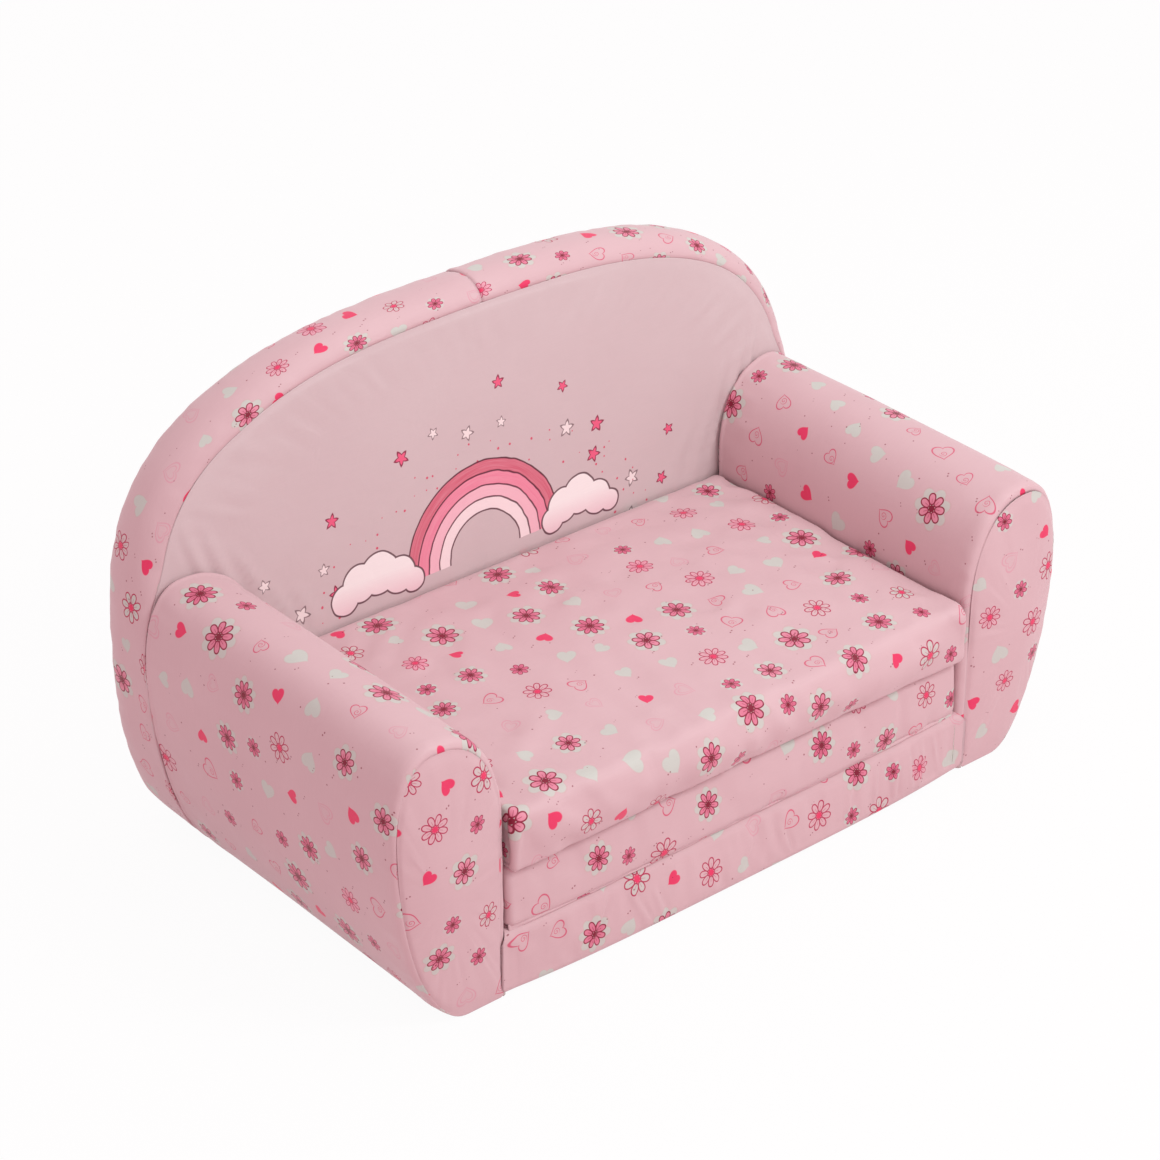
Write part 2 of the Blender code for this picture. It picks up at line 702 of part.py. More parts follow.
def main():
    """Builds the sofa, closed, as it stands in use."""
    clear_scene()
    build_back()
    build_arm("right", 1)
    build_arm("left", -1)
    build_base()
    middle_front, top_front = arm_front_y + middle_front_recess, arm_front_y - top_front_reach
    middle_pad = build_pad("middle", middle_front, middle_bottom, middle_front_crown, 0, 0)
    top_pad = build_pad("top", top_front, top_bottom, top_front_crown, top_crown, top_front_draw)
    rear_hinge_cloth = build_hinge_cloths()
    front_fold = joint_axis("mattress_fold", (0, front_fold_y, front_fold_z))
    carry(front_fold, [*middle_pad, rear_hinge_cloth])
    carry(joint_axis("top_pad_fold", (0, rear_fold_y, rear_fold_z), front_fold), top_pad)


main()
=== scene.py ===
"""Fold-out foam play sofa for a small child: its covers, foam, hinge cloths, zips and finishes.

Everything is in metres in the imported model's frame: X runs along the seat, Y from the front to the back and
Z up, with the origin on the floor under the middle of the sofa. Each cover is a surface of two parameters,
and its flat pattern, in metres, is its UV map, so that the print lies on it as on real cut cloth.
"""

import json
import logging
import math
from collections.abc import Callable, Sequence
from dataclasses import dataclass, replace
from enum import Enum
from functools import reduce
from typing import Any

import bmesh
import bpy
import numpy as np
from mathutils import Matrix, Vector


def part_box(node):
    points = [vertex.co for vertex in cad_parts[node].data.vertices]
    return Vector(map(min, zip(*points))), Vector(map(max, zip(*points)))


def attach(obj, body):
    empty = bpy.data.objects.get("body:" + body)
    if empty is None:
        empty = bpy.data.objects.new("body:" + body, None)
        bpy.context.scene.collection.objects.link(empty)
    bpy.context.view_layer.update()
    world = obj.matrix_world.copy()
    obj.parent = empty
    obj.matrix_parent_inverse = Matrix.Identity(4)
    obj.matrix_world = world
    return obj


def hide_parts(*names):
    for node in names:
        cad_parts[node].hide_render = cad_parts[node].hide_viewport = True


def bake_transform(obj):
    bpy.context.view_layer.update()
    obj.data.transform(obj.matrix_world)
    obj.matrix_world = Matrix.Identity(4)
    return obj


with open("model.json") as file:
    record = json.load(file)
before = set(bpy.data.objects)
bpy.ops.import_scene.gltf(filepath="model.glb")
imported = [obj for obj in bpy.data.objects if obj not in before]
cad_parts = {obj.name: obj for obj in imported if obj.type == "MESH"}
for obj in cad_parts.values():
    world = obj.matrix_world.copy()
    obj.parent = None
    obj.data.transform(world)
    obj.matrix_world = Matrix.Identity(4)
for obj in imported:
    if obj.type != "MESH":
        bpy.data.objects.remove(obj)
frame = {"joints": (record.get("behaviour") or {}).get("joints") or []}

Array = np.ndarray
Colour = tuple[float, float, float]
Pair = tuple[float, float]
log = logging.getLogger("play_sofa")
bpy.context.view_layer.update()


@dataclass(frozen=True)
class SofaSizes:
    """The sofa's sizes, which every block and cover takes its own places from."""

    seat_width: float = 0.546
    seat_depth: float = 0.345
    pad_thickness: float = 0.060
    clearance: float = 0.0003
    arm_height: float = 0.283
    arm_width: float = 0.121
    arm_foot_run: float = 0.046
    widest_height: float = 0.193
    back_height: float = 0.460
    back_thickness: float = 0.084
    back_lean: float = 0.027
    back_side_setback: float = 0.012
    back_rear_roll_run: float = 0.032
    arm_roll_run: float = 0.014
    base_height: float = 0.063
    front_reach: float = 0.012
    pad_side_clearance: float = 0.0015
    pad_rear_clearance: float = 0.0010

    @property
    def half_seat(self) -> float:
        """Half the width between the arms."""
        return self.seat_width / 2

    @property
    def half_width(self) -> float:
        """Half the sofa's width."""
        return self.half_seat + self.arm_width

    @property
    def half_foot(self) -> float:
        """Half the width on which the sofa stands."""
        return self.half_seat + self.arm_foot_run

    @property
    def front_y(self) -> float:
        """The plane of the arms' front seams."""
        return self.front_reach - (self.front_reach + self.seat_depth + self.back_thickness) / 2

    @property
    def back_front_y(self) -> float:
        """The plane of the back's front, at the seat."""
        return self.front_y + self.seat_depth

    @property
    def back_rear_y(self) -> float:
        """The plane of the back's rear."""
        return self.back_front_y + self.back_thickness

    @property
    def middle_low(self) -> float:
        """The underside of the middle pad."""
        return self.base_height + self.clearance

    @property
    def top_low(self) -> float:
        """The underside of the top pad."""
        return self.middle_low + self.pad_thickness + self.clearance

    @property
    def seat_top(self) -> float:
        """The top pad's upper face at its edges."""
        return self.top_low + self.pad_thickness

    @property
    def pad_rear_y(self) -> float:
        """The rear side of both pads."""
        return self.back_front_y - self.pad_rear_clearance

    @property
    def half_pad(self) -> float:
        """Half the length of both pads."""
        return self.half_seat - self.pad_side_clearance


SIZES = SofaSizes()
CLOTH_THICKNESS = 0.0010
FOAM_INSET = 0.0042  # how far every foam block lies under its cover
SINK = 0.0028  # how far cloth can sink into its foam
ONE_POINT = 1e-6  # a row no longer than this is a single point
COVER_FILL = 0.9  # how full the covers that are sewn to the body are
PAD_FILL = 0.85  # how full the pads' looser covers are


class Slot(Enum):
    """The record's material slots."""

    PRINT = "printed_cloth"
    PLAIN = "plain_cloth"
    LINING = "lining_cloth"
    FOAM = "foam"
    ZIP_TAPE = "zip_tape"
    ZIP_METAL = "zip_metal"


class Body(Enum):
    """The bodies that move against each other."""

    SOFA = "sofa_body"
    MIDDLE = "middle_pad"
    TOP = "top_pad"
    BODY_PULL = "body_zip_pull"
    MIDDLE_PULL = "middle_pad_zip_pull"
    TOP_PULL = "top_pad_zip_pull"


def smooth_noise(across: Array, along: Array, seed: int) -> Array:
    """Soft unevenness between -1 and 1.

    Formula: random numbers stand at the whole points of a lattice, and between them each place takes the mean
    of its four neighbours, weighted by the smooth step 3s^2 - 2s^3 of its distance along each side.

    Args:
        across: First coordinate, in lattice steps.
        along: Second coordinate, in lattice steps.
        seed: Which set of random numbers to take.

    Returns:
        The unevenness at each place.
    """
    size = 128
    lattice = np.random.default_rng(seed).uniform(-1, 1, (size, size))
    low_across, low_along = np.floor(across).astype(int), np.floor(along).astype(int)
    share_across, share_along = across - low_across, along - low_along
    share_across = share_across**2 * (3 - 2 * share_across)
    share_along = share_along**2 * (3 - 2 * share_along)
    low = lattice[low_across % size, low_along % size]
    low += share_across * (lattice[(low_across + 1) % size, low_along % size] - low)
    high = lattice[low_across % size, (low_along + 1) % size]
    high += share_across * (lattice[(low_across + 1) % size, (low_along + 1) % size] - high)
    return low + share_along * (high - low)


def smooth_step(value: Array, low: float, high: float) -> Array:
    """The step 3s^2 - 2s^3, where s runs from 0 at low to 1 at high."""
    share = np.clip((value - low) / (high - low), 0.0, 1.0)
    return share * share * (3 - 2 * share)


def arc(turns: Array, centre: Sequence[float], radii: Sequence[float], power: float = 2.0) -> Array:
    """Points of a superellipse.

    Formula: the centre, plus each radius times the cosine or sine of the angle raised to 2 / power, with its
    sign kept. Angles are in quarter turns.

    Args:
        turns: Angles in quarter turns.
        centre: Centre, across and up.
        radii: Radii, across and up.
        power: 2 for an ellipse, more for a squarer curve.

    Returns:
        One point, across and up, for each angle.
    """
    cosines, sines = np.cos(turns * math.pi / 2), np.sin(turns * math.pi / 2)
    across = centre[0] + radii[0] * np.sign(cosines) * np.abs(cosines) ** (2 / power)
    up = centre[1] + radii[1] * np.sign(sines) * np.abs(sines) ** (2 / power)
    return np.stack([across, up], axis=-1)


def straight(share: Array, start: Sequence[float], end: Sequence[float]) -> Array:
    """Points on a straight line, by their share of its length."""
    first, last = np.array(start, float), np.array(end, float)
    return first + (last - first) * share[..., None]


def stretches(places: Array, parts: Sequence[Callable[[Array], Array]]) -> Array:
    """An outline made of several stretches, where a place's whole part says which, and the rest how far along it.

    Args:
        places: Places along the outline, from 0 to the number of stretches.
        parts: One function for each stretch, from a share of it to points.

    Returns:
        The points, across and up.
    """
    number = np.clip(places.astype(int), 0, len(parts) - 1)
    points = np.empty((*places.shape, 2))
    for index, part in enumerate(parts):
        chosen = number == index
        points[chosen] = part((places - number)[chosen])
    return points


def even_places(outline: Callable[[Array], Array], first: float, last: float, step: float) -> tuple[Array, Array]:
    """Places along an outline whose points lie at equal distances.

    Formula: the outline's length is summed over many short chords and read backwards at equal lengths.

    Args:
        outline: Function from places to points.
        first: First place.
        last: Last place.
        step: Wanted distance between points.

    Returns:
        The places, and the length from the first place to each.
    """
    dense = np.linspace(first, last, 6001)
    points = outline(dense)
    chords = np.linalg.norm(np.diff(points, axis=0), axis=1)
    length = np.concatenate([[0.0], np.cumsum(chords)])
    wanted = np.linspace(0.0, length[-1], max(3, round(length[-1] / step) + 1))
    return np.interp(wanted, length, dense), wanted


def crowded(count: int, pull: float) -> Array:
    """Shares from 0 to 1 that lie closer together at both ends, where the seams are: s - pull sin(2 pi s) / (2 pi)."""
    share = np.linspace(0.0, 1.0, count)
    return share - pull * np.sin(2 * math.pi * share) / (2 * math.pi)


def rolled(share: Array) -> Array:
    """How far an edge that rolls over as a quarter circle is still inset, at a share of its run."""
    return 1 - np.sqrt(np.maximum(0.0, 1 - (1 - share) ** 2))


def rolled_in(full: Array, seam: Array, share: Array) -> Array:
    """Loops that grow from a seam to the full outline as a quarter circle, one for each share of the run."""
    return full + (seam - full) * rolled(share)[:, None, None]


def rings(seam: Array, middle: Array, shares: Array) -> Array:
    """Loops round a middle, one for each share of the way to the seam."""
    return middle + (seam - middle) * shares[:, None, None]


def stacked(*parts: Array | float) -> Array:
    """Points from their coordinates, which may each vary over rows, columns or neither."""
    return np.stack(np.broadcast_arrays(*parts), axis=-1)


def first_again(loops: Array) -> Array:
    """Loops with their first place once more at the end, as the flat pattern of a closed ring needs them."""
    return np.concatenate([loops, loops[:, :1]], axis=1)


def capped(loops: Array) -> Array:
    """Loops with the first and last one's middle added before and after them, as one point each."""
    middle = np.broadcast_to(loops.mean(axis=1, keepdims=True), loops.shape)
    return np.concatenate([middle[:1], loops, middle[-1:]])


def quads(row: Array, column: Array, beside: Array, wide: int) -> Array:
    """Four point numbers for each face of a grid that is so many points wide."""
    row, column, beside = row.ravel() * wide, column.ravel(), beside.ravel()
    return np.stack([row + column, row + wide + column, row + wide + beside, row + beside], axis=-1)


def edge_distance(shares: Array, reach: float, count: int, step: float) -> tuple[Array, Array]:
    """How far each place of a panel in rings lies from its seam, and how far along it."""
    away, along = np.broadcast_arrays((1 - shares[:, None]) * reach, np.arange(count)[None, :] * step)
    return away, along


def set_back(points: Array) -> Array:
    """Leans the back backwards and turns its sides away from the seat, and takes the arms' rear ends with it.

    Formula: Y grows by the lean times the share of height above the seat, plus the side set-back times the
    share of width beyond the seat, all faded out towards the rear panel and towards the arms' front.

    Args:
        points: Points in any array whose last axis is X, Y, Z.

    Returns:
        The moved points.
    """
    sizes = SIZES
    x, y, z = np.moveaxis(points, -1, 0)
    rise = np.maximum(z - sizes.seat_top, 0.0) / (sizes.back_height - sizes.seat_top)
    beside = np.maximum(np.abs(x) - sizes.half_seat, 0.0) / sizes.arm_width
    rear_start = sizes.back_rear_y - sizes.back_rear_roll_run
    front_end = sizes.front_y + sizes.arm_roll_run
    behind = (rear_start - y) / (rear_start - sizes.back_front_y)
    before = (y - front_end) / (sizes.back_front_y - front_end)
    fade = np.clip(np.where(y > sizes.back_front_y, behind, before), 0.0, 1.0)
    moved = points.copy()
    moved[..., 1] += (sizes.back_lean * rise + sizes.back_side_setback * beside) * fade
    return moved


def seam_dip(away: Array, depth: float = 0.0017, width: float = 0.0032) -> Array:
    """How far cloth sinks beside a seam: the depth times exp(-(distance / width)^2)."""
    return -depth * np.exp(-((away / width) ** 2))


def puckers(away: Array, along: Array, seed: int, height: float = 0.0007, reach: float = 0.014) -> Array:
    """Small gathers that run away from a seam.

    Formula: noise along the seam, with a step of 9 mm, times a hump that starts at the seam and dies away.
    """
    gathers = smooth_noise(along / 0.009, away / 0.030, seed) + 0.5 * smooth_noise(along / 0.021, away / 0.05, seed + 1)
    hump = (away / reach) * np.exp(1 - away / reach) * (1 - smooth_step(away, 1.5 * reach, 3.0 * reach))
    return height * gathers * hump


def creased(across: Array, along: Array, seed: int) -> Array:
    """Narrow creases between flat stretches: 1 - 2 sqrt(n^2 + 0.012) of the soft unevenness n."""
    return 1 - 2 * np.sqrt(smooth_noise(across, along, seed) ** 2 + 0.012)


def lying(height: Array, most: float, sink: float = SINK) -> Array:
    """Folds of cloth that lies on foam: it stands out at most so far, and sinks in hardly at all.

    Formula: the height over one plus its size as a share of the limit on its side.
    """
    return height / (1 + np.abs(height) / np.where(height < 0, sink, most))


def fold(across: Array, along: Array, width: float, start: float, end: float, height: float) -> Array:
    """One pull fold: a ridge with a valley beside it, which tapers off at both ends."""
    ridge = np.exp(-((across / width) ** 2)) - 0.7 * np.exp(-(((across - 1.7 * width) / width) ** 2))
    run = np.clip((along - start) / (end - start), 0.0, 1.0)
    return height * ridge * np.sin(math.pi * run) ** 1.2


@dataclass
class Surface:
    """A grid of points with its flat pattern, from which covers and foam are made.

    Attributes:
        points: Rows by columns by X, Y, Z.
        flat: Rows by columns by two lengths on the flat cloth. A grid that wraps has one column more.
        inside: A point inside the block, so that the surface knows which way is out.
        wraps: Whether the last column joins the first.
    """

    points: Array
    flat: Array
    inside: Array
    wraps: bool = False

    @classmethod
    def block(cls, loops: Array, inside: Array) -> "Surface":
        """A closed block from its loops, without a flat pattern."""
        return cls(loops, np.zeros((loops.shape[0], loops.shape[1] + 1, 2)), inside, wraps=True)

    def normals(self) -> Array:
        """Unit normals pointing out.

        Formula: the cross product of the differences along rows and columns, divided by its length. A row
        that is one point takes the mean of the row beside it.
        """
        points = self.points
        if self.wraps:
            along = np.roll(points, -1, axis=1) - np.roll(points, 1, axis=1)
        else:
            along = np.gradient(points, axis=1)
        normals = np.cross(np.gradient(points, axis=0), along)
        normals = normals / np.maximum(np.linalg.norm(normals, axis=-1, keepdims=True), 1e-15)
        for row, beside in ((0, 1), (-1, -2)):
            if np.ptp(points[row], axis=0).max() < ONE_POINT:
                mean = normals[beside].mean(axis=0)
                normals[row] = mean / np.linalg.norm(mean)
        return normals if (normals * (points - self.inside)).sum() > 0 else -normals

    def pushed(self, amount: Array | float) -> "Surface":
        """The surface moved out along its normals by an amount for each point."""
        amount = np.broadcast_to(amount, self.points.shape[:2])
        return replace(self, points=self.points + self.normals() * amount[..., None])

    def moved(self, change: Callable[[Array], Array]) -> "Surface":
        """The surface with its points changed by a function."""
        return replace(self, points=change(self.points))

    def above(self, lowest: float) -> "Surface":
        """The surface with no point below a height."""
        return replace(self, points=np.maximum(self.points, (-np.inf, -np.inf, lowest)))

    def faces(self) -> tuple[Array, Array]:
        """Point numbers and flat places of the grid's faces, turned to face out."""
        rows, columns = self.points.shape[:2]
        row, column = np.indices((rows - 1, columns if self.wraps else columns - 1))
        corners = quads(row, column, (column + 1) % columns, columns)
        places = quads(row, column, column + 1, self.flat.shape[1])
        quad = self.points.reshape(-1, 3)[corners]
        across = np.cross(quad[:, 2] - quad[:, 0], quad[:, 3] - quad[:, 1])
        if (across * (quad.mean(axis=1) - self.inside)).sum() > 0:
            return corners, places
        return corners[:, ::-1], places[:, ::-1]

    def rims(self) -> tuple[Array, Array]:
        """Faces that join the grid's edges to an inner layer of points, except at a row that is one point."""
        rows, columns = self.points.shape[:2]
        count, wide = rows * columns, self.flat.shape[1]
        numbers = np.arange(count).reshape(rows, columns)
        places = np.arange(rows * wide).reshape(rows, wide)
        if self.wraps:
            numbers = first_again(numbers)
        edges = [(numbers[0], places[0]), (numbers[-1][::-1], places[-1][::-1])]
        if not self.wraps:
            edges += [(numbers[::-1, 0], places[::-1, 0]), (numbers[:, -1], places[:, -1])]
        corners, flats = [np.empty((0, 4), int)], [np.empty((0, 4), int)]
        for edge, place in edges:
            if np.ptp(self.points.reshape(-1, 3)[edge], axis=0).max() >= ONE_POINT:
                corners.append(np.stack([edge[:-1], edge[1:], edge[1:] + count, edge[:-1] + count], axis=-1))
                flats.append(np.stack([place[:-1], place[1:], place[1:], place[:-1]], axis=-1))
        return np.concatenate(corners), np.concatenate(flats)

    def layered(self, inner: Array) -> tuple[Array, Array, Array]:
        """Closes the surface with an inner layer.

        Args:
            inner: The inner layer's points, one for each point of the surface.

        Returns:
            All points, and point numbers and flat places for each face.
        """
        corners, places = self.faces()
        rims, rim_places = self.rims()
        points = np.concatenate([self.points.reshape(-1, 3), inner.reshape(-1, 3)])
        corners = np.concatenate([corners, corners[:, ::-1] + len(points) // 2, rims])
        return points, corners, np.concatenate([places, places[:, ::-1], rim_places])

    def object(self, name: str, thickness: float = CLOTH_THICKNESS) -> bpy.types.Object:
        """A closed piece of cloth: the outer face, an inner face one thickness behind it, and their edges.

        Args:
            name: The piece's name.
            thickness: The cloth's thickness, or 0 for a surface that closes by itself.

        Returns:
            The new object, at the origin.
        """
        if thickness:
            points, corners, places = self.layered(self.points - self.normals() * thickness)
        else:
            points, (corners, places) = self.points.reshape(-1, 3), self.faces()
        return mesh_object(name, points, corners, self.flat.reshape(-1, 2)[places.ravel()])


def mesh_object(name: str, points: Array, corners: Array, flat: Array | None = None) -> bpy.types.Object:
    """Makes an object at the origin from points, four-cornered faces and a flat place for each face's corner.

    Args:
        name: The object's name.
        points: Points in metres.
        corners: Four point numbers for each face.
        flat: Two lengths on the flat cloth for each corner of each face.

    Returns:
        The new object, closed, smooth and facing out.
    """
    mesh = bpy.data.meshes.new(name)
    mesh.vertices.add(len(points))
    mesh.vertices.foreach_set("co", np.asarray(points, np.float32).ravel())
    mesh.loops.add(corners.size)
    mesh.loops.foreach_set("vertex_index", corners.astype(np.int32).ravel())
    mesh.polygons.add(len(corners))
    mesh.polygons.foreach_set("loop_start", np.arange(0, corners.size, 4, dtype=np.int32))
    if flat is not None:
        layer = mesh.uv_layers.new(name="cut")
        layer.data.foreach_set("uv", np.asarray(flat, np.float32).ravel())
    mesh.update(calc_edges=True)
    shape = bmesh.new()
    shape.from_mesh(mesh)
    bmesh.ops.remove_doubles(shape, verts=shape.verts, dist=1e-6)
    bmesh.ops.dissolve_degenerate(shape, edges=shape.edges, dist=1e-7)
    bmesh.ops.recalc_face_normals(shape, faces=shape.faces)
    shape.to_mesh(mesh)
    shape.free()
    mesh.shade_smooth()
    obj = bpy.data.objects.new(name, mesh)
    bpy.context.scene.collection.objects.link(obj)
    return obj


def softened(values: Array, passes: int) -> Array:
    """Values on a wrapped grid, each averaged with its neighbours by halves and quarters, a number of times."""
    for _ in range(passes):
        values = (2 * values + np.roll(values, 1, axis=1) + np.roll(values, -1, axis=1)) / 4
        ends = np.concatenate([values[:1], values, values[-1:]])
        values = (ends[:-2] + 2 * values + ends[2:]) / 4
    return values


def between_lines(values: Array, lines: Array, wanted: Array) -> Array:
    """Values on the first axis's lines, read between the lines by straight interpolation."""
    first = np.clip(np.searchsorted(lines, wanted, side="right") - 1, 0, len(lines) - 2)
    share = (wanted - lines[first]) / (lines[first + 1] - lines[first])
    return values[first] + (values[first + 1] - values[first]) * share[:, None]


@dataclass(frozen=True)
class LooseCover:
    """Finds the small folds of a cover that is cut a little too large for its foam, by cloth simulation.

    Attributes:
        slack: How much larger the cloth is than the foam, as a share.
        pressure: The foam's push from inside.
        hold: How strongly the foam holds the cloth where it is free.
        bending: The cloth's resistance to bending.
        tension: The cloth's resistance to stretching.
        frames: How long the cloth moves.
        share: How much of the found folds is kept.
        most: The highest fold, in metres.
    """

    slack: float = 0.015
    pressure: float = 1.0
    hold: float = 0.1
    bending: float = 1.5
    tension: float = 5.0
    frames: int = 20
    share: float = 1.0
    most: float = 0.0034

    def folds(self, surface: Surface, free: Array) -> Array:
        """Runs the simulation on a closed round surface.

        Args:
            surface: The cover at rest, on a coarse grid.
            free: 1 where the cloth may move and 0 where it is sewn or lies on something.

        Returns:
            For each point of the grid how far its fold stands out, in metres.
        """
        piece = self.piece(surface, free)
        scene = bpy.context.scene
        for number in range(1, self.frames + 1):
            scene.frame_set(number)
        moved = piece.evaluated_get(bpy.context.evaluated_depsgraph_get())
        mesh = moved.to_mesh()
        places = np.empty(3 * len(mesh.vertices), np.float32)
        mesh.vertices.foreach_get("co", places)
        moved.to_mesh_clear()
        rest = piece.data
        bpy.data.objects.remove(piece)
        bpy.data.meshes.remove(rest)
        scene.frame_set(1)
        height = ((places.reshape(surface.points.shape) - surface.points) * surface.normals()).sum(axis=-1)
        height = softened(height, 1) - softened(height, 40)
        return self.most * np.tanh(height * self.share / self.most) * smooth_step(free, 0.0, 0.5)

    def piece(self, surface: Surface, free: Array) -> bpy.types.Object:
        """The coarse cover with its cloth modifier."""
        mesh = bpy.data.meshes.new("cover_at_rest")
        mesh.from_pydata(surface.points.reshape(-1, 3).tolist(), [], surface.faces()[0].tolist())
        piece = bpy.data.objects.new("cover_at_rest", mesh)
        bpy.context.scene.collection.objects.link(piece)
        held = piece.vertex_groups.new(name="held")
        levels = np.round((1 - free.ravel() * (1 - self.hold)) * 20).astype(int)
        for level in np.unique(levels):
            held.add(np.nonzero(levels == level)[0].tolist(), level / 20, "REPLACE")
        cloth = piece.modifiers.new("cover", "CLOTH")
        cloth.point_cache.frame_start, cloth.point_cache.frame_end = 1, self.frames
        cloth.collision_settings.use_collision = False
        settings = cloth.settings
        settings.quality, settings.mass, settings.air_damping = 5, 0.2, 5.0
        settings.tension_stiffness = settings.compression_stiffness = self.tension
        settings.shear_stiffness, settings.bending_stiffness = self.tension / 2, self.bending
        settings.use_pressure, settings.uniform_pressure_force = True, self.pressure
        settings.effector_weights.gravity = 0.0
        settings.vertex_group_mass, settings.pin_stiffness = held.name, 1.0
        settings.shrink_min = -self.slack
        return piece


def operator(operation: str, turned: bool = False) -> Callable[["Field", Any], "Field"]:
    """An operator of Field that adds one Math node, or its reflected form with the number first."""
    def apply(self: "Field", other: "Field | float") -> "Field":
        """Adds the node."""
        values = (other, self) if turned else (self, other)
        return self.kit.math(operation, *values)

    return apply


class Field:
    """A value in a shader, with Python's operators, so that a pattern is written as an expression."""

    __add__, __radd__ = operator("ADD"), operator("ADD", turned=True)
    __sub__, __rsub__ = operator("SUBTRACT"), operator("SUBTRACT", turned=True)
    __mul__, __rmul__ = operator("MULTIPLY"), operator("MULTIPLY", turned=True)
    __truediv__, __rtruediv__ = operator("DIVIDE"), operator("DIVIDE", turned=True)
    __pow__, __lt__, __gt__ = operator("POWER"), operator("LESS_THAN"), operator("GREATER_THAN")

    def __init__(self, kit: "NodeKit", socket: bpy.types.NodeSocket) -> None:
        """Wraps a node's output socket."""
        self.kit = kit
        self.socket = socket

    def __abs__(self) -> "Field":
        """The size without its sign."""
        return self.kit.math("ABSOLUTE", self)

    def between(self, low: float, high: float) -> "Field":
        """1 from low to high, else 0."""
        return (self > low) * (self < high)

    def below(self, edge: "Field | float", soft: float) -> "Field":
        """1 well below an edge and 0 well above it, with a soft change over a width."""
        return self.kit.math("ADD", (edge - self) / soft, 0.5, clamp=True)


class NodeKit:
    """The nodes of one material, made one call at a time."""

    def __init__(self, name: str) -> None:
        """Starts a material with a Principled shader."""
        self.material = bpy.data.materials.new(name)
        self.material.use_nodes = True
        self.tree = self.material.node_tree
        self.shader = self.tree.nodes["Principled BSDF"]
        self.output = self.tree.nodes["Material Output"]

    def node(self, kind: str, settings: dict[str, Any], inputs: dict[Any, Any], output: int | str = 0) -> Field:
        """Adds a node.

        Args:
            kind: The node's type, without the prefix that all shader nodes share.
            settings: Its settings, set before its sockets.
            inputs: Values or fields by socket name or number.
            output: Which output to give back.

        Returns:
            The output as a field.
        """
        made = self.tree.nodes.new("ShaderNode" + kind)
        for key, value in settings.items():
            setattr(made, key, value)
        for key, value in inputs.items():
            if isinstance(value, Field):
                self.tree.links.new(value.socket, made.inputs[key])
            elif value is not None:
                made.inputs[key].default_value = value
        return Field(self, made.outputs[output])

    def math(self, operation: str, *values: "Field | float", clamp: bool = False) -> Field:
        """One Math node."""
        return self.node("Math", {"operation": operation, "use_clamp": clamp}, dict(enumerate(values)))

    def mix(self, under: Any, over: Any, share: Field | float) -> Field:
        """Lays one colour over another by a share."""
        colours = {6: self.colour(under), 7: self.colour(over), 0: share}
        return self.node("Mix", {"data_type": "RGBA"}, colours, 2)

    @staticmethod
    def colour(value: Any) -> Any:
        """A colour with its alpha, or the field as it is."""
        return value if isinstance(value, Field) else (*value, 1.0)

    def flat_place(self) -> Field:
        """The place on the flat cloth."""
        return self.node("UVMap", {"uv_map": "cut"}, {})

    def split(self, vector: Field) -> tuple[Field, Field]:
        """The first two lengths of a vector."""
        first, second = (self.node("SeparateXYZ", {}, {0: vector}, index) for index in (0, 1))
        return first, second

    def length(self, across: Field, up: Field) -> Field:
        """The distance from the origin."""
        return (across * across + up * up) ** 0.5

    def noise(self, place: Field, scale: float, detail: float = 2.0, **more: float) -> Field:
        """Soft noise at a place."""
        return self.node("TexNoise", {}, {"Vector": place, "Scale": scale, "Detail": detail, **more})

    def feed(self, **inputs: Any) -> None:
        """Sets or links the shader's sockets, whose names are written with _ for a space."""
        for key, value in inputs.items():
            socket = self.shader.inputs[key.replace("_", " ")]
            if isinstance(value, Field):
                self.tree.links.new(value.socket, socket)
            else:
                socket.default_value = value

    def bump(self, height: Field, strength: float, distance: float, under: Field | None = None) -> Field:
        """A normal tilted by a height field."""
        return self.node(
            "Bump", {}, {"Strength": strength, "Distance": distance, "Height": height, "Normal": under}
        )


def shade(red: int, green: int, blue: int) -> Colour:
    """A colour from its screen values, as the shader's linear values."""
    values = [value / 255 for value in (red, green, blue)]
    return tuple(v / 12.92 if v <= 0.04045 else ((v + 0.055) / 1.055) ** 2.4 for v in values)


@dataclass(frozen=True)
class PrintColours:
    """Colours of the printed cloth."""

    ground: Colour = shade(216, 181, 186)
    ground_deep: Colour = shade(208, 170, 176)
    off_white: Colour = shade(199, 198, 192)
    fringe: Colour = shade(204, 170, 168)
    hot: Colour = shade(228, 54, 99)
    crimson: Colour = shade(128, 8, 44)
    rose: Colour = shade(208, 66, 106)
    hot_line: Colour = shade(178, 36, 80)
    petal: Colour = shade(214, 106, 136)
    petal_pale: Colour = shade(226, 152, 170)
    faint: Colour = shade(214, 142, 160)


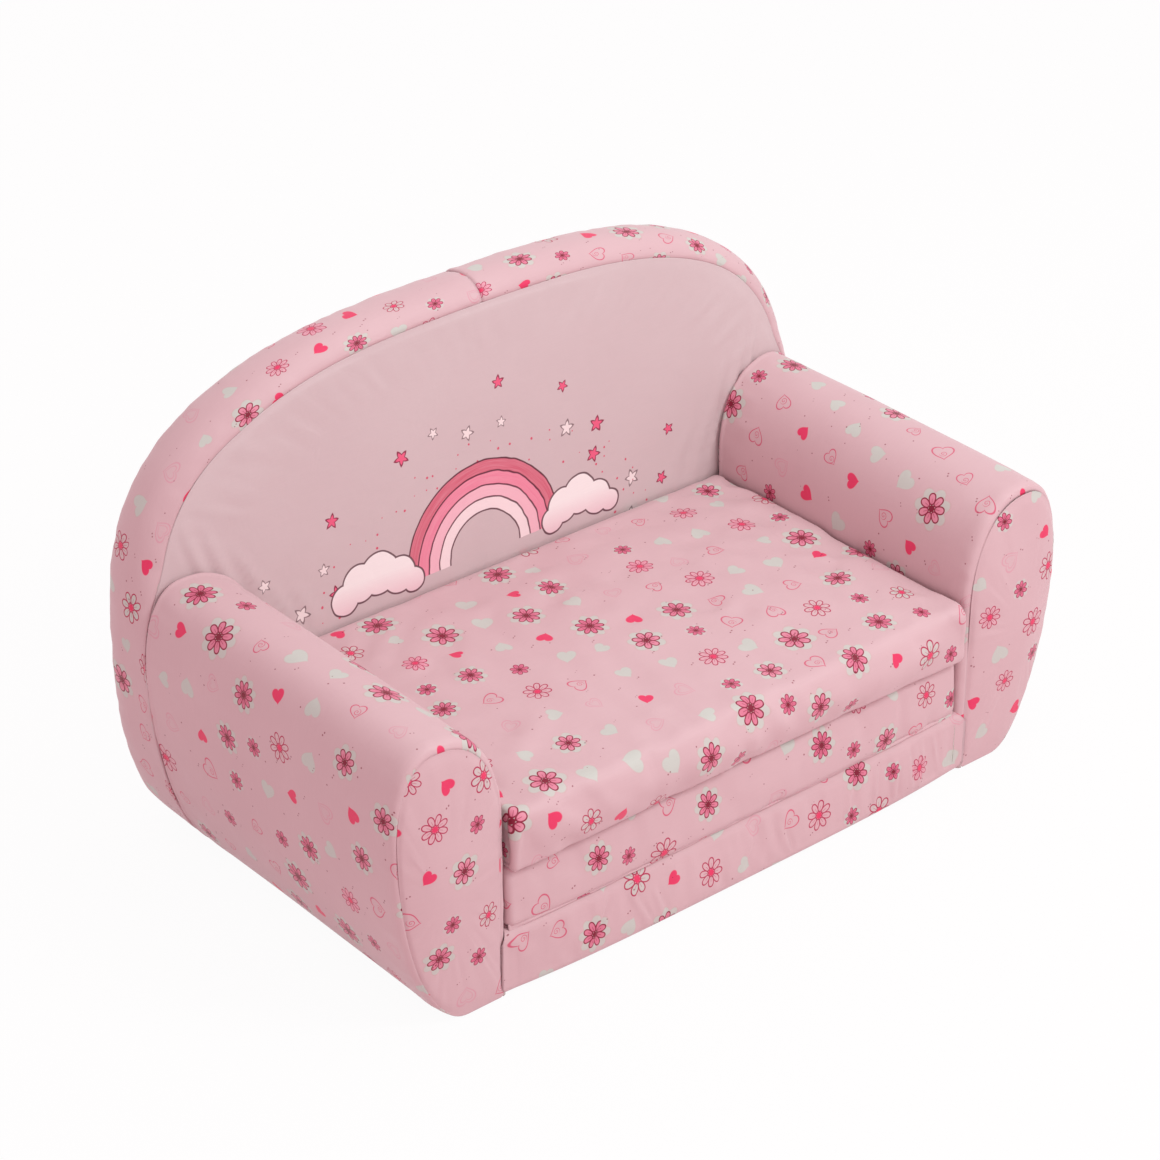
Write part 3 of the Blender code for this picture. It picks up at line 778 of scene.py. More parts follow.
class Motifs:
    """The print's drawn shapes, as masks on the flat cloth."""

    def __init__(self, kit: NodeKit, across: Field, up: Field) -> None:
        """Takes the place on the cloth, in metres, from the motif's own middle."""
        self.kit = kit
        self.across = across
        self.up = up
        self.radius = kit.length(across, up)
        self.angle = kit.math("ARCTAN2", up, across)

    def sector(self, turn: Field | float, count: Field | float) -> Field:
        """How far a place lies from its petal's middle line, from -0.5 to 0.5 of the petal's share."""
        return self.kit.math("FRACT", (self.angle / (2 * math.pi) + turn) * count) - 0.5

    def petals(self, size: Field | float, turn: Field, count: Field, spread: float = 1.0) -> tuple[Field, Field]:
        """How far a place lies from its own petal's middle: below 1 inside the petal.

        Formula: in each petal's own share of the circle, the distance along it from 0.60 of the size, over
        0.40 of the size and to the power 2.8, plus the square of the distance beside it over the half width.

        Args:
            size: The flower's radius.
            turn: How far the flower is turned.
            count: How many petals it has.
            spread: 1 for the petals, more for the ground behind them.

        Returns:
            The level, and the distance beside the petal's middle line.
        """
        bend = self.sector(turn, count) * (2 * math.pi) / count
        along = self.radius * self.kit.math("COSINE", bend)
        beside = self.radius * self.kit.math("SINE", bend)
        width = size * (1.92 * spread) / count
        reach = abs((along - size * 0.60) / (size * (0.40 * spread)))
        side = beside / (width * (0.62 + 0.38 * self.kit.math("MINIMUM", along / (size * 0.62), 1.0)))
        return reach**2.8 + side * side, beside

    def daisy(self, size: Field | float, turn: Field, count: Field) -> tuple[Field, Field, Field]:
        """Masks of a daisy's petals, of their drawn edges with a vein in each, and of its eye."""
        level, beside = self.petals(size, turn, count)
        filled = level.below(1.0, 0.14)
        edge = filled * (1 - level.below(0.51, 0.18))
        vein = abs(beside).below(0.00022, 0.0002) * (self.radius / size).between(0.22, 0.62)
        eye = self.radius.below(size * 0.215, 0.0005)
        return filled, self.kit.math("MAXIMUM", edge, vein * 0.7), eye

    def halo(self, size: Field | float, turn: Field, count: Field) -> Field:
        """The pale lobed ground behind a daisy, whose lobes stand out between and past its petals."""
        lobes = self.petals(size * 1.28, turn + 0.05, count, 1.10)[0].below(1.0, 0.20)
        return self.kit.math("MAXIMUM", lobes, self.radius.below(size * 1.02, 0.001))

    def heart(self, size: Field | float, turn: Field) -> Field:
        """A heart's level: below 1 inside.

        Formula: with x to the side and y up, both divided by the size, x^2 + (1.2 y - 0.75 sqrt|x| + 0.12)^2.
        """
        cosine, sine = self.kit.math("COSINE", turn), self.kit.math("SINE", turn)
        side = abs((self.across * cosine - self.up * sine) / size)
        lifted = (self.across * sine + self.up * cosine) / size * 1.2 - 0.75 * side**0.5 + 0.12
        return side * side + lifted * lifted


@dataclass(frozen=True)
class PrintedCloth:
    """Smooth cotton and polyester cloth with an all-over print of daisies, hearts and dots.

    Attributes:
        colours: The print's colours.
        pitch: Distance between large motifs, in metres.
        lean: How far the motifs' rows are turned against the cloth's edges, in degrees.
    """

    colours: PrintColours = PrintColours()
    pitch: float = 0.060
    lean: float = 27.0



    @staticmethod
    def cell(
        kit: NodeKit, across: Field, up: Field, pitch: float, shift: float, seed: float, stray: float
    ) -> tuple[Motifs, list[Field], list[Field]]:
        """One motif's own place and random numbers in a net of square cells.

        Args:
            kit: The material's nodes.
            across: First length on the cloth.
            up: Second length on the cloth.
            pitch: The cells' size.
            shift: How far the net is moved, in cells.
            seed: Which set of random numbers to take.
            stray: How far a motif strays from its cell's middle.

        Returns:
            The motif's own coordinates, and two sets of three random numbers.
        """
        wide, high = across / pitch + shift, up / pitch + shift
        column, row = kit.math("FLOOR", wide), kit.math("FLOOR", high)
        numbers = []
        for extra in (0.0, 17.0):
            key = kit.node("CombineXYZ", {}, {0: column, 1: row, 2: seed + extra})
            noise = kit.node("TexWhiteNoise", {"noise_dimensions": "3D"}, {"Vector": key}, "Color")
            numbers.append([kit.node("SeparateColor", {}, {0: noise}, index) for index in range(3)])
        first, second = numbers
        middle_x = (wide - column - 0.5) * pitch - (first[0] - 0.5) * (2 * stray)
        middle_y = (high - row - 0.5) * pitch - (first[1] - 0.5) * (2 * stray)
        return Motifs(kit, middle_x, middle_y), first, second

    def large(self, kit: NodeKit, colour: Field, across: Field, up: Field) -> Field:
        """Lays the large motifs over the ground: daisies with and without halo, and hearts."""
        palette = self.colours
        motif, first, second = self.cell(kit, across, up, self.pitch, 0.0, 3.0, 0.0035)
        kind, turn = second[0], first[2]
        count = 7.0 + kit.math("FLOOR", second[1] * 2.99)
        size = 0.0112 + second[2] * 0.0042
        petals, edge, eye = motif.daisy(size, turn, count)
        with_halo, daisy = kind < 0.38, kind < 0.62
        colour = kit.mix(colour, palette.fringe, motif.halo(size * 1.07, turn, count) * with_halo * 0.5)
        colour = kit.mix(colour, palette.off_white, motif.halo(size, turn, count) * with_halo * 0.88)
        inner = kit.mix(palette.petal, palette.petal_pale, (motif.radius / size) * (1 - second[1]))
        white = kit.mix(palette.off_white, palette.petal_pale, second[1])
        colour = kit.mix(colour, kit.mix(white, inner, with_halo), petals * daisy)
        line = kit.mix(palette.hot_line, palette.crimson, with_halo * 0.9)
        colour = kit.mix(colour, line, edge * daisy)
        colour = kit.mix(colour, kit.mix(palette.hot, palette.crimson, with_halo), eye * daisy)
        return self.hearts(kit, colour, motif, kind, turn, second[2], 0.0096, (0.62, 0.74, 0.87, 1.0))

    def small(self, kit: NodeKit, colour: Field, across: Field, up: Field) -> Field:
        """Lays the small motifs between the large ones."""
        palette = self.colours
        motif, first, second = self.cell(kit, across, up, self.pitch, 0.5, 41.0, 0.0050)
        kind, turn = second[0], first[2]
        count = 7.0 + kit.math("FLOOR", second[1] * 1.99)
        petals, edge, eye = motif.daisy(0.0088, turn, count)
        daisy = kind < 0.24
        colour = kit.mix(colour, palette.off_white, motif.halo(0.0080, turn, count) * daisy * second[2])
        colour = kit.mix(colour, palette.petal, petals * daisy)
        colour = kit.mix(colour, palette.crimson, edge * daisy * 0.85)
        colour = kit.mix(colour, palette.crimson, eye * daisy)
        heart = motif.heart(0.0066 + second[1] * 0.0015, turn * 6.28)
        colour = kit.mix(colour, palette.hot, heart.below(1.0, 0.25) * kind.between(0.24, 0.46))
        return self.hearts(kit, colour, motif, kind, turn, second[2], 0.0088, (0.46, 0.66, 0.80, 0.88))

    def hearts(
        self, kit: NodeKit, colour: Field, motif: Motifs, kind: Field, turn: Field,
        chance: Field, size: float, limits: Sequence[float]
    ) -> Field:
        """Lays white hearts, hearts drawn with a curl, and faint double hearts.

        Args:
            kit: The material's nodes.
            colour: What lies under them.
            motif: The motif's own coordinates.
            kind: The random number that picks the motif.
            turn: The random number that turns it.
            chance: The random number that sizes it.
            size: The hearts' size.
            limits: The kinds at which each of the three starts, and where the last ends.

        Returns:
            The colour with the hearts on it.
        """
        palette = self.colours
        level = motif.heart(size * (0.8 + 0.35 * chance), turn * 6.28)
        white, curled, faint = (kind.between(*pair) for pair in zip(limits, limits[1:]))
        colour = kit.mix(colour, palette.fringe, level.below(1.15, 0.3) * white * 0.5)
        colour = kit.mix(colour, palette.off_white, level.below(1.0, 0.2) * white)
        outline = level.below(1.0, 0.10) * (1 - level.below(0.74, 0.10))
        winding = motif.radius / (size * 0.26) - motif.angle / (2 * math.pi)
        spiral = abs(kit.math("FRACT", winding) - 0.5).below(0.13, 0.08) * motif.radius.below(size * 0.42, 0.0004)
        colour = kit.mix(colour, palette.rose, kit.math("MAXIMUM", outline, spiral) * curled * 0.85)
        inner = level.below(0.42, 0.08) * (1 - level.below(0.30, 0.08))
        return kit.mix(colour, palette.faint, kit.math("MAXIMUM", outline, inner) * faint * 0.6)

    def dots(self, kit: NodeKit, colour: Field, across: Field, up: Field) -> Field:
        """Scatters tiny dots, alone and in twos."""
        motif, _, second = self.cell(kit, across, up, 0.0170, 0.27, 97.0, 0.0060)
        size = 0.0004 + second[1] * 0.0005
        twin = kit.length(motif.across + 0.0030, motif.up).below(size, 0.0003) * (second[2] < 0.45)
        dot = kit.math("MAXIMUM", motif.radius.below(size, 0.0003), twin)
        return kit.mix(colour, self.colours.crimson, dot * (second[0] < 0.26) * 0.7)

    def material(self) -> bpy.types.Material:
        """Builds the printed cloth."""
        kit = NodeKit("printed_cloth")
        flat = kit.flat_place()
        turn = {"Vector": flat, "Angle": math.radians(self.lean)}
        across, up = kit.split(kit.node("VectorRotate", {"rotation_type": "Z_AXIS"}, turn))
        soft = kit.noise(flat, 9.0, 3.0, Roughness=0.55)
        colour = kit.mix(self.colours.ground, self.colours.ground_deep, soft)
        colour = self.small(kit, colour, across, up)
        colour = self.large(kit, colour, across, up)
        colour = self.dots(kit, colour, across, up)
        dress_cloth(kit, flat, colour, roughness=0.50)
        return kit.material


def dress_cloth(kit: NodeKit, flat: Field, colour: Field, roughness: float, pitch: float = 0.0007) -> None:
    """Gives a cloth its threads, small creases and uneven sheen, and a faint painted shade between the threads.

    Formula: the threads' height is the sine of the place across times the sine of the place along.

    Args:
        kit: The material's nodes.
        flat: The place on the flat cloth.
        colour: The cloth's colour.
        roughness: Its mean roughness.
        pitch: Distance between threads.
    """
    along, across = (kit.math("SINE", length * (math.pi / pitch)) for length in kit.split(flat))
    threads = along * across
    creases = kit.noise(flat, 38.0, 4.0, Roughness=0.6, Distortion=0.6)
    slubs = kit.noise(kit.node("Mapping", {}, {"Vector": flat, "Scale": (40.0, 900.0, 1.0)}), 1.0)
    normal = kit.bump(threads, 0.22, 0.00012)
    normal = kit.bump(creases, 0.35, 0.0012, normal)
    # the threads' term is a faint painted shade between the threads; the slubs are the yarn's own uneven tone
    tint = 0.965 + 0.05 * slubs + 0.012 * threads
    kit.feed(
        Base_Color=kit.node("VectorMath", {"operation": "SCALE"}, {0: colour, "Scale": tint}),
        Roughness=roughness + 0.10 * creases - 0.05,
        Normal=normal,
        Sheen_Weight=0.15,
        Sheen_Roughness=0.42,
        Specular_IOR_Level=0.3,
    )


@dataclass(frozen=True)
class LiningCloth:
    """Plain thin lining in the print's ground colour."""

    colour: Colour = shade(229, 180, 188)
    deep: Colour = shade(216, 164, 174)

    def material(self) -> bpy.types.Material:
        """Builds the lining."""
        kit = NodeKit("lining_cloth")
        flat = kit.flat_place()
        colour = kit.mix(self.colour, self.deep, kit.noise(flat, 14.0, 3.0))
        dress_cloth(kit, flat, colour, roughness=0.78, pitch=0.0010)
        return kit.material


@dataclass(frozen=True)
class CutFoam:
    """Cut polyurethane foam: fine open cells, with painted shade in their hollows."""

    wall: Colour = shade(238, 236, 226)
    hollow: Colour = shade(208, 204, 190)
    cloud: Colour = shade(226, 220, 200)

    def material(self) -> bpy.types.Material:
        """Builds the foam."""
        kit = NodeKit("cut_foam")
        place = kit.node("TexCoord", {}, {}, "Object")
        cells = kit.node("TexVoronoi", {"feature": "F1"}, {"Vector": place, "Scale": 650.0})
        cloud = kit.noise(place, 60.0, 4.0)
        # hollow is painted shade at each cell's middle, where the pore lies deepest; cloud is the foam's own uneven
        # tone
        colour = kit.mix(kit.mix(self.hollow, self.wall, cells * 1.6), self.cloud, cloud * 0.4)
        kit.feed(Base_Color=colour, Roughness=0.88 + 0.1 * cloud, Normal=kit.bump(cells, 0.6, 0.0008))
        return kit.material


@dataclass(frozen=True)
class ZipTape:
    """Woven zip tape with its moulded coil, with painted shade between its threads."""

    colour: Colour = shade(206, 118, 138)
    deep: Colour = shade(184, 92, 114)

    def material(self) -> bpy.types.Material:
        """Builds the tape."""
        kit = NodeKit("zip_tape")
        place = kit.node("TexCoord", {}, {}, "Object")
        rows, picks = (
            kit.node("TexWave", {"bands_direction": axis}, {"Vector": place, "Scale": scale, "Distortion": stray})
            for axis, scale, stray in (("Z", 260.0, 0.4), ("X", 420.0, 0.3))
        )
        cloth = rows * picks
        # deep is painted shade where the weave's bump is low, between its threads
        colour = kit.mix(self.deep, self.colour, cloth * 0.8 + 0.2)
        kit.feed(Base_Color=colour, Roughness=0.55 + 0.25 * rows, Normal=kit.bump(cloth, 0.5, 0.0003))
        return kit.material


@dataclass(frozen=True)
class CastMetal:
    """Die-cast slider metal with a fine grain and a scuffed, uneven roughness."""

    colour: Colour = shade(186, 184, 180)
    deep: Colour = shade(168, 164, 160)

    def material(self) -> bpy.types.Material:
        """Builds the metal."""
        kit = NodeKit("zip_metal")
        place = kit.node("TexCoord", {}, {}, "Object")
        grain, scuffs = kit.noise(place, 900.0, 5.0), kit.noise(place, 240.0, 2.0)
        colour = kit.mix(self.deep, self.colour, grain)
        normal = kit.bump(grain, 0.15, 0.0002)
        kit.feed(Base_Color=colour, Metallic=1.0, Roughness=0.24 + 0.22 * scuffs, Normal=normal)
        return kit.material


@dataclass(frozen=True)
class PicturePanel:
    """Paler plain cloth with a printed picture: a rainbow between two clouds, with stars round it.

    Attributes:
        ground: The cloth's colour.
        ground_deep: Its colour where it is deeper.
        ink: The drawn lines' colour.
        bands: The rainbow's colours, from outside to inside.
        streaks: The colour of the bands' pale streaks.
        star_colours: The hot and the pale stars' colour.
        speck: The dots' colour.
        wash: The clouds' colours, above and below.
        middle: Where the rainbow's centre lies on the cloth, across and up.
        radius: The rainbow's outer radius.
        band: The width of one of its bands.
        clouds: The clouds' discs: across, up and radius.
    """

    ground: Colour = shade(214, 193, 195)
    ground_deep: Colour = shade(207, 182, 185)
    ink: Colour = shade(78, 18, 40)
    bands: tuple[Colour, ...] = (
        shade(206, 52, 92), shade(236, 112, 146), shade(244, 178, 194), shade(248, 226, 228)
    )
    streaks: Colour = shade(250, 214, 220)
    star_colours: tuple[Colour, Colour] = (shade(238, 96, 132), shade(244, 226, 226))
    speck: Colour = shade(214, 48, 92)
    wash: tuple[Colour, Colour] = (shade(250, 238, 238), shade(238, 188, 200))
    middle: Pair = (-0.020, 0.196)
    radius: float = 0.092
    band: float = 0.0125
    clouds: tuple[tuple[float, float, float], ...] = (
        (-0.183, 0.203, 0.016), (-0.165, 0.214, 0.020), (-0.143, 0.217, 0.022), (-0.121, 0.208, 0.019),
        (-0.105, 0.198, 0.013), (0.063, 0.200, 0.014), (0.077, 0.211, 0.019), (0.098, 0.216, 0.021),
        (0.119, 0.206, 0.018), (0.134, 0.198, 0.012),
    )

    def away(self, motif: Motifs, across: Field, up: Field) -> Field:
        """How far a motif's middle lies from the picture's, on ellipses that are wide across."""
        side, rise = across - motif.across - self.middle[0], up - motif.up - 0.18
        return (side * side * 0.42 + rise * rise) ** 0.5

    def stars(self, kit: NodeKit, colour: Field, across: Field, up: Field) -> Field:
        """Scatters five-pointed stars and dots over the part of the cloth round the rainbow."""
        motif, first, second = PrintedCloth.cell(kit, across, up, 0.040, 0.35, 211.0, 0.0085)
        tip = 1 - abs(motif.sector(first[2], 5.0)) * 2
        size = 0.0055 + 0.0045 * second[1]
        level = motif.radius / (size * (0.46 + 0.54 * tip**1.25))
        near = self.away(motif, across, up).between(0.112, 0.185) * (second[0] < 0.70)
        filled = level.below(1.0, 0.12)
        colour = kit.mix(colour, kit.mix(*self.star_colours, second[2] > 0.5), filled * near)
        colour = kit.mix(colour, self.ink, filled * (1 - level.below(0.74, 0.12)) * near * 0.8)
        dot, _, chance = PrintedCloth.cell(kit, across, up, 0.0125, 0.1, 307.0, 0.0040)
        speck = dot.radius.below(0.0006 + 0.0008 * chance[1], 0.0004) * (chance[0] < 0.42)
        close = self.away(dot, across, up).between(0.098, 0.132)
        return kit.mix(colour, self.speck, speck * close * 0.85)

    def rainbow(self, kit: NodeKit, colour: Field, across: Field, up: Field) -> Field:
        """Lays four drawn bands in an arch."""
        side, rise = across - self.middle[0], up - self.middle[1]
        reach, above = kit.length(side, rise), rise > 0.0
        edges = [self.radius - number * self.band for number in range(len(self.bands) + 1)]
        for number, (tone, outer) in enumerate(zip(self.bands, edges)):
            inside = reach.below(outer, 0.0004) * (1 - reach.below(outer - self.band, 0.0004))
            place = kit.node("CombineXYZ", {}, {0: reach * 900.0, 1: side * 30.0, 2: float(number)})
            streaked = kit.mix(tone, self.streaks, kit.noise(place, 1.0) * 0.42)
            colour = kit.mix(colour, streaked, inside * above)
        for edge in edges:
            colour = kit.mix(colour, self.ink, abs(reach - edge).below(0.0008, 0.0005) * above * 0.9)
        return colour

    def cloud(self, kit: NodeKit, colour: Field, across: Field, up: Field) -> Field:
        """Lays the two clouds, each a union of discs with a drawn edge."""
        levels = [kit.length(across - x, up - y) - size for x, y, size in self.clouds]
        level = reduce(lambda one, other: kit.math("MINIMUM", one, other), levels)
        wash = kit.mix(*self.wash, (0.215 - up) * 26.0)
        colour = kit.mix(colour, wash, level.below(0.0, 0.0005))
        return kit.mix(colour, self.ink, abs(level + 0.0006).below(0.0009, 0.0005) * 0.9)

    def material(self) -> bpy.types.Material:
        """Builds the cloth."""
        kit = NodeKit("plain_cloth")
        flat = kit.flat_place()
        across, up = kit.split(flat)
        colour = kit.mix(self.ground, self.ground_deep, kit.noise(flat, 6.0, 3.0))
        wobble = kit.noise(flat, 60.0, 1.0) - 0.5
        drawn = across + wobble * 0.003, up + wobble * 0.002
        for layer in (self.stars, self.rainbow, self.cloud):
            colour = layer(kit, colour, *drawn)
        dress_cloth(kit, flat, colour, roughness=0.50)
        return kit.material


class Finishes:
    """Every finish of the sofa, built once."""

    def __init__(self) -> None:
        """Builds the materials."""
        self.by_slot = {
            Slot.PRINT: PrintedCloth().material(),
            Slot.PLAIN: PicturePanel().material(),
            Slot.LINING: LiningCloth().material(),
            Slot.FOAM: CutFoam().material(),
            Slot.ZIP_TAPE: ZipTape().material(),
            Slot.ZIP_METAL: CastMetal().material(),
        }


@dataclass
class SubAssembly:
    """What every sub-assembly shares: its finishes and the way a piece gets its material, its body and the nodes it
    replaces.

    Attributes:
        finishes: The sofa's materials.
        sizes: The sofa's sizes.
    """

    finishes: Finishes
    sizes: SofaSizes = SIZES

    def dress(
        self, piece: bpy.types.Object, slot: Slot, body: Body | None, nodes: Sequence[str], fill: float | None = None
    ) -> bpy.types.Object:
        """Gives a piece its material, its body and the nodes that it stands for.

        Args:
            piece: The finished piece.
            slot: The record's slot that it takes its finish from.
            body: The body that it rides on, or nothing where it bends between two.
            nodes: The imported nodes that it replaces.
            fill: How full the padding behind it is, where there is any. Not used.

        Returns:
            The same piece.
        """
        piece.data.materials.append(self.finishes.by_slot[slot])
        if nodes:
            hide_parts(*nodes)
        if body is not None:
            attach(piece, body.value)
        log.info("%s: %d faces, slot %s", piece.name, len(piece.data.polygons), slot.value)
        return piece

    def foam(self, block: Surface, word: str, body: Body = Body.SOFA) -> None:
        """Makes a foam block."""
        self.dress(block.object(word + "_foam_block", 0.0), Slot.FOAM, body, [word + "_foam"], 1.0)


@dataclass
class Arm(SubAssembly):
    """One arm: foam, a softly bulged front panel, and one wrap over its outer side, top and inner side.

    Attributes:
        side: 1 for the right arm and -1 for the left one.
        crest_run: How far the crest lies from the seat's side.
        shoulder_height: Where the rounded top meets the inner side.
        top_power: How square the rounded top is, 2 being an ellipse.
        front_bulge: How far the front panel bulges.
        roll_top_drop: How far the front seam lies under the crest.
        roll_outer_inset: How far it is set in from the outer side.
        roll_inner_inset: How far it is set in from the inner side.
        step: Distance between the grid's points round the arm.
        lines: Rings of the front panel.
        pull: How closely they crowd at the seam.
        front_cut: Where the front panel was cut out of the cloth.
        wrap_cut: Where the wrap was cut out of the cloth.
    """

    side: int = 1
    crest_run: float = 0.074
    shoulder_height: float = 0.172
    top_power: float = 2.3
    front_bulge: float = 0.009
    roll_top_drop: float = 0.009
    roll_outer_inset: float = 0.005
    roll_inner_inset: float = 0.0075
    step: float = 0.0040
    lines: int = 44
    pull: float = 0.8
    front_cut: Pair = (0.31, 0.17)
    wrap_cut: Pair = (0.07, 0.4)

    @property
    def word(self) -> str:
        """The arm's name."""
        return "right_arm" if self.side > 0 else "left_arm"

    @property
    def length(self) -> float:
        """How far the wrap runs from the front seam to the back."""
        return self.sizes.back_front_y - self.sizes.clearance - self.sizes.front_y

    def outline(self, places: Array, outer: float = 0.0, drop: float = 0.0, inner: float = 0.0) -> Array:
        """The arm's section: foot, outer side, top to the inner side, inner side and underside.

        Args:
            places: Places from 0 to 5, one whole number for each of the five stretches.
            outer: How far the outer side is set in.
            drop: How far the top is lowered.
            inner: How far the inner side is set in.

        Returns:
            Points, out from the seat's side and up.
        """
        width, widest, foot = self.sizes.arm_width, self.sizes.widest_height, self.sizes.arm_foot_run
        crest, shoulder, top = self.crest_run, self.shoulder_height, self.sizes.arm_height - drop
        return stretches(places, [
            lambda s: arc(s - 1, (foot, widest), (width - foot - outer, widest)),
            lambda s: arc(s, (crest, widest), (width - crest - outer, top - widest), self.top_power),
            lambda s: arc(s + 1, (crest, shoulder), (crest - inner, top - shoulder), self.top_power),
            lambda s: straight(s, (inner, shoulder), (inner, 0.0)),
            lambda s: straight(s, (inner, 0.0), (foot, 0.0)),
        ])

    def seam(self, places: Array) -> Array:
        """The outline of the front panel's seam."""
        return self.outline(places, self.roll_outer_inset, self.roll_top_drop, self.roll_inner_inset)

    def stood(self, loops: Array, y: Array) -> Array:
        """Outlines stood up, each at its place along Y."""
        return stacked(self.side * (self.sizes.half_seat + loops[..., 0]), y[:, None], loops[..., 1])

    @property
    def middle(self) -> Array:
        """The front panel's middle, across from the seat and up."""
        return np.array([self.crest_run, (self.sizes.arm_height - self.roll_top_drop) / 2])

    @property
    def inside(self) -> Array:
        """A point inside the arm."""
        y = (self.sizes.front_y + self.sizes.back_front_y) / 2
        return np.array([self.side * (self.sizes.half_seat + self.crest_run), y, self.shoulder_height / 2])

    def front_surface(self) -> Surface:
        """The front panel, in rings from its middle to its seam.

        Formula: each ring is a share of the way from the middle to the seam, and stands out in front by the
        bulge times one minus the share squared.
        """
        places, _ = even_places(self.seam, 0.0, 5.0, self.step)
        shares = crowded(self.lines, self.pull)
        loops = rings(self.seam(places[:-1]), self.middle, shares)
        points = self.stood(loops, self.sizes.front_y - self.front_bulge * (1 - shares**2))
        cut = (self.front_cut[0], self.front_cut[1] * self.side)
        return Surface(points, first_again(loops) + cut, self.inside, wraps=True)

    def wrap_surface(self) -> Surface:
        """The wrap: the rolled front edge and the straight length, open underneath.

        Formula: the outline grows from the seam to its full size as a quarter circle over the roll's run, and
        then runs straight to the back.
        """
        places, length = even_places(self.outline, 0.0, 4.0, self.step)
        runs = crowded(96, 0.82) * self.length
        share = np.clip(runs / self.sizes.arm_roll_run, 0.0, 1.0)
        loops = rolled_in(self.outline(places), self.seam(places), share)
        flat = stacked(length[None, :], runs[:, None]) + (self.wrap_cut[0] * self.side, self.wrap_cut[1])
        return Surface(self.stood(loops, self.sizes.front_y + runs), flat, self.inside)

    def block(self) -> Surface:
        """The foam: the whole closed outline from the front panel's middle to the rear end's middle."""
        sizes = self.sizes
        places = even_places(self.outline, 0.0, 5.0, 0.009)[0][:-1]
        full, seam = self.outline(places), self.seam(places)
        front, roll = np.linspace(0.0, 1.0, 14), np.linspace(0.15, 1.0, 6)
        start, end = sizes.front_y + sizes.arm_roll_run, sizes.back_front_y - sizes.clearance
        run, rear = np.linspace(start, end, 34)[1:], np.linspace(1.0, 0.0, 8)[1:]
        loops = np.concatenate([
            rings(seam, self.middle, front), rolled_in(full, seam, roll),
            np.broadcast_to(full, (len(run), *full.shape)), rings(full, self.middle, rear),
        ])
        y = np.concatenate([
            sizes.front_y - self.front_bulge * (1 - front**2), sizes.front_y + sizes.arm_roll_run * roll,
            run, np.full(len(rear), end),
        ])
        return Surface.block(self.stood(loops, y), self.inside)

    def build(self) -> None:
        """Makes the arm's three pieces."""
        seed = 20 + self.side
        self.wrap(seed)
        self.front_panel(seed)
        self.foam(self.block().pushed(-FOAM_INSET).moved(set_back).above(FOAM_INSET), self.word)

    def wrap(self, seed: int) -> None:
        """The wrap with its seams, gathers and the fold where it meets the back."""
        wrap = self.wrap_surface()
        run, around = wrap.flat[..., 1] - self.wrap_cut[1], wrap.flat[..., 0]
        end = self.length
        height = seam_dip(run) + puckers(run, around, seed)
        height += 0.0011 * np.exp(-(((end - run - 0.0045) / 0.0024) ** 2)) + seam_dip(end - run, 0.0022, 0.0024)
        height += puckers(end - run, around, seed + 4, 0.0008, 0.022)
        height += 0.0011 * smooth_noise(around / 0.07, run / 0.11, seed + 8)
        height *= smooth_step(wrap.points[..., 2], 0.0, 0.03)
        wrap = wrap.pushed(height).moved(set_back).above(0.0)
        piece = wrap.object(self.word + "_wrap_cloth")
        self.dress(piece, Slot.PRINT, Body.SOFA, [self.word + "_wrap"], COVER_FILL)

    def front_panel(self, seed: int) -> None:
        """The front panel with its seam and gathers."""
        front = self.front_surface()
        x, _, z = np.moveaxis(front.points, -1, 0)
        away, along = edge_distance(crowded(self.lines, self.pull), 0.06, x.shape[1], self.step)
        height = seam_dip(away) + puckers(away, along, seed + 12, 0.0006)
        height += 0.0012 * smooth_noise(x / 0.05, z / 0.07, seed + 3)
        front = front.pushed(height * smooth_step(z, 0.0, 0.02)).above(0.0)
        piece = front.object(self.word + "_front_cloth")
        self.dress(piece, Slot.PRINT, Body.SOFA, [self.word + "_front_panel"], COVER_FILL)


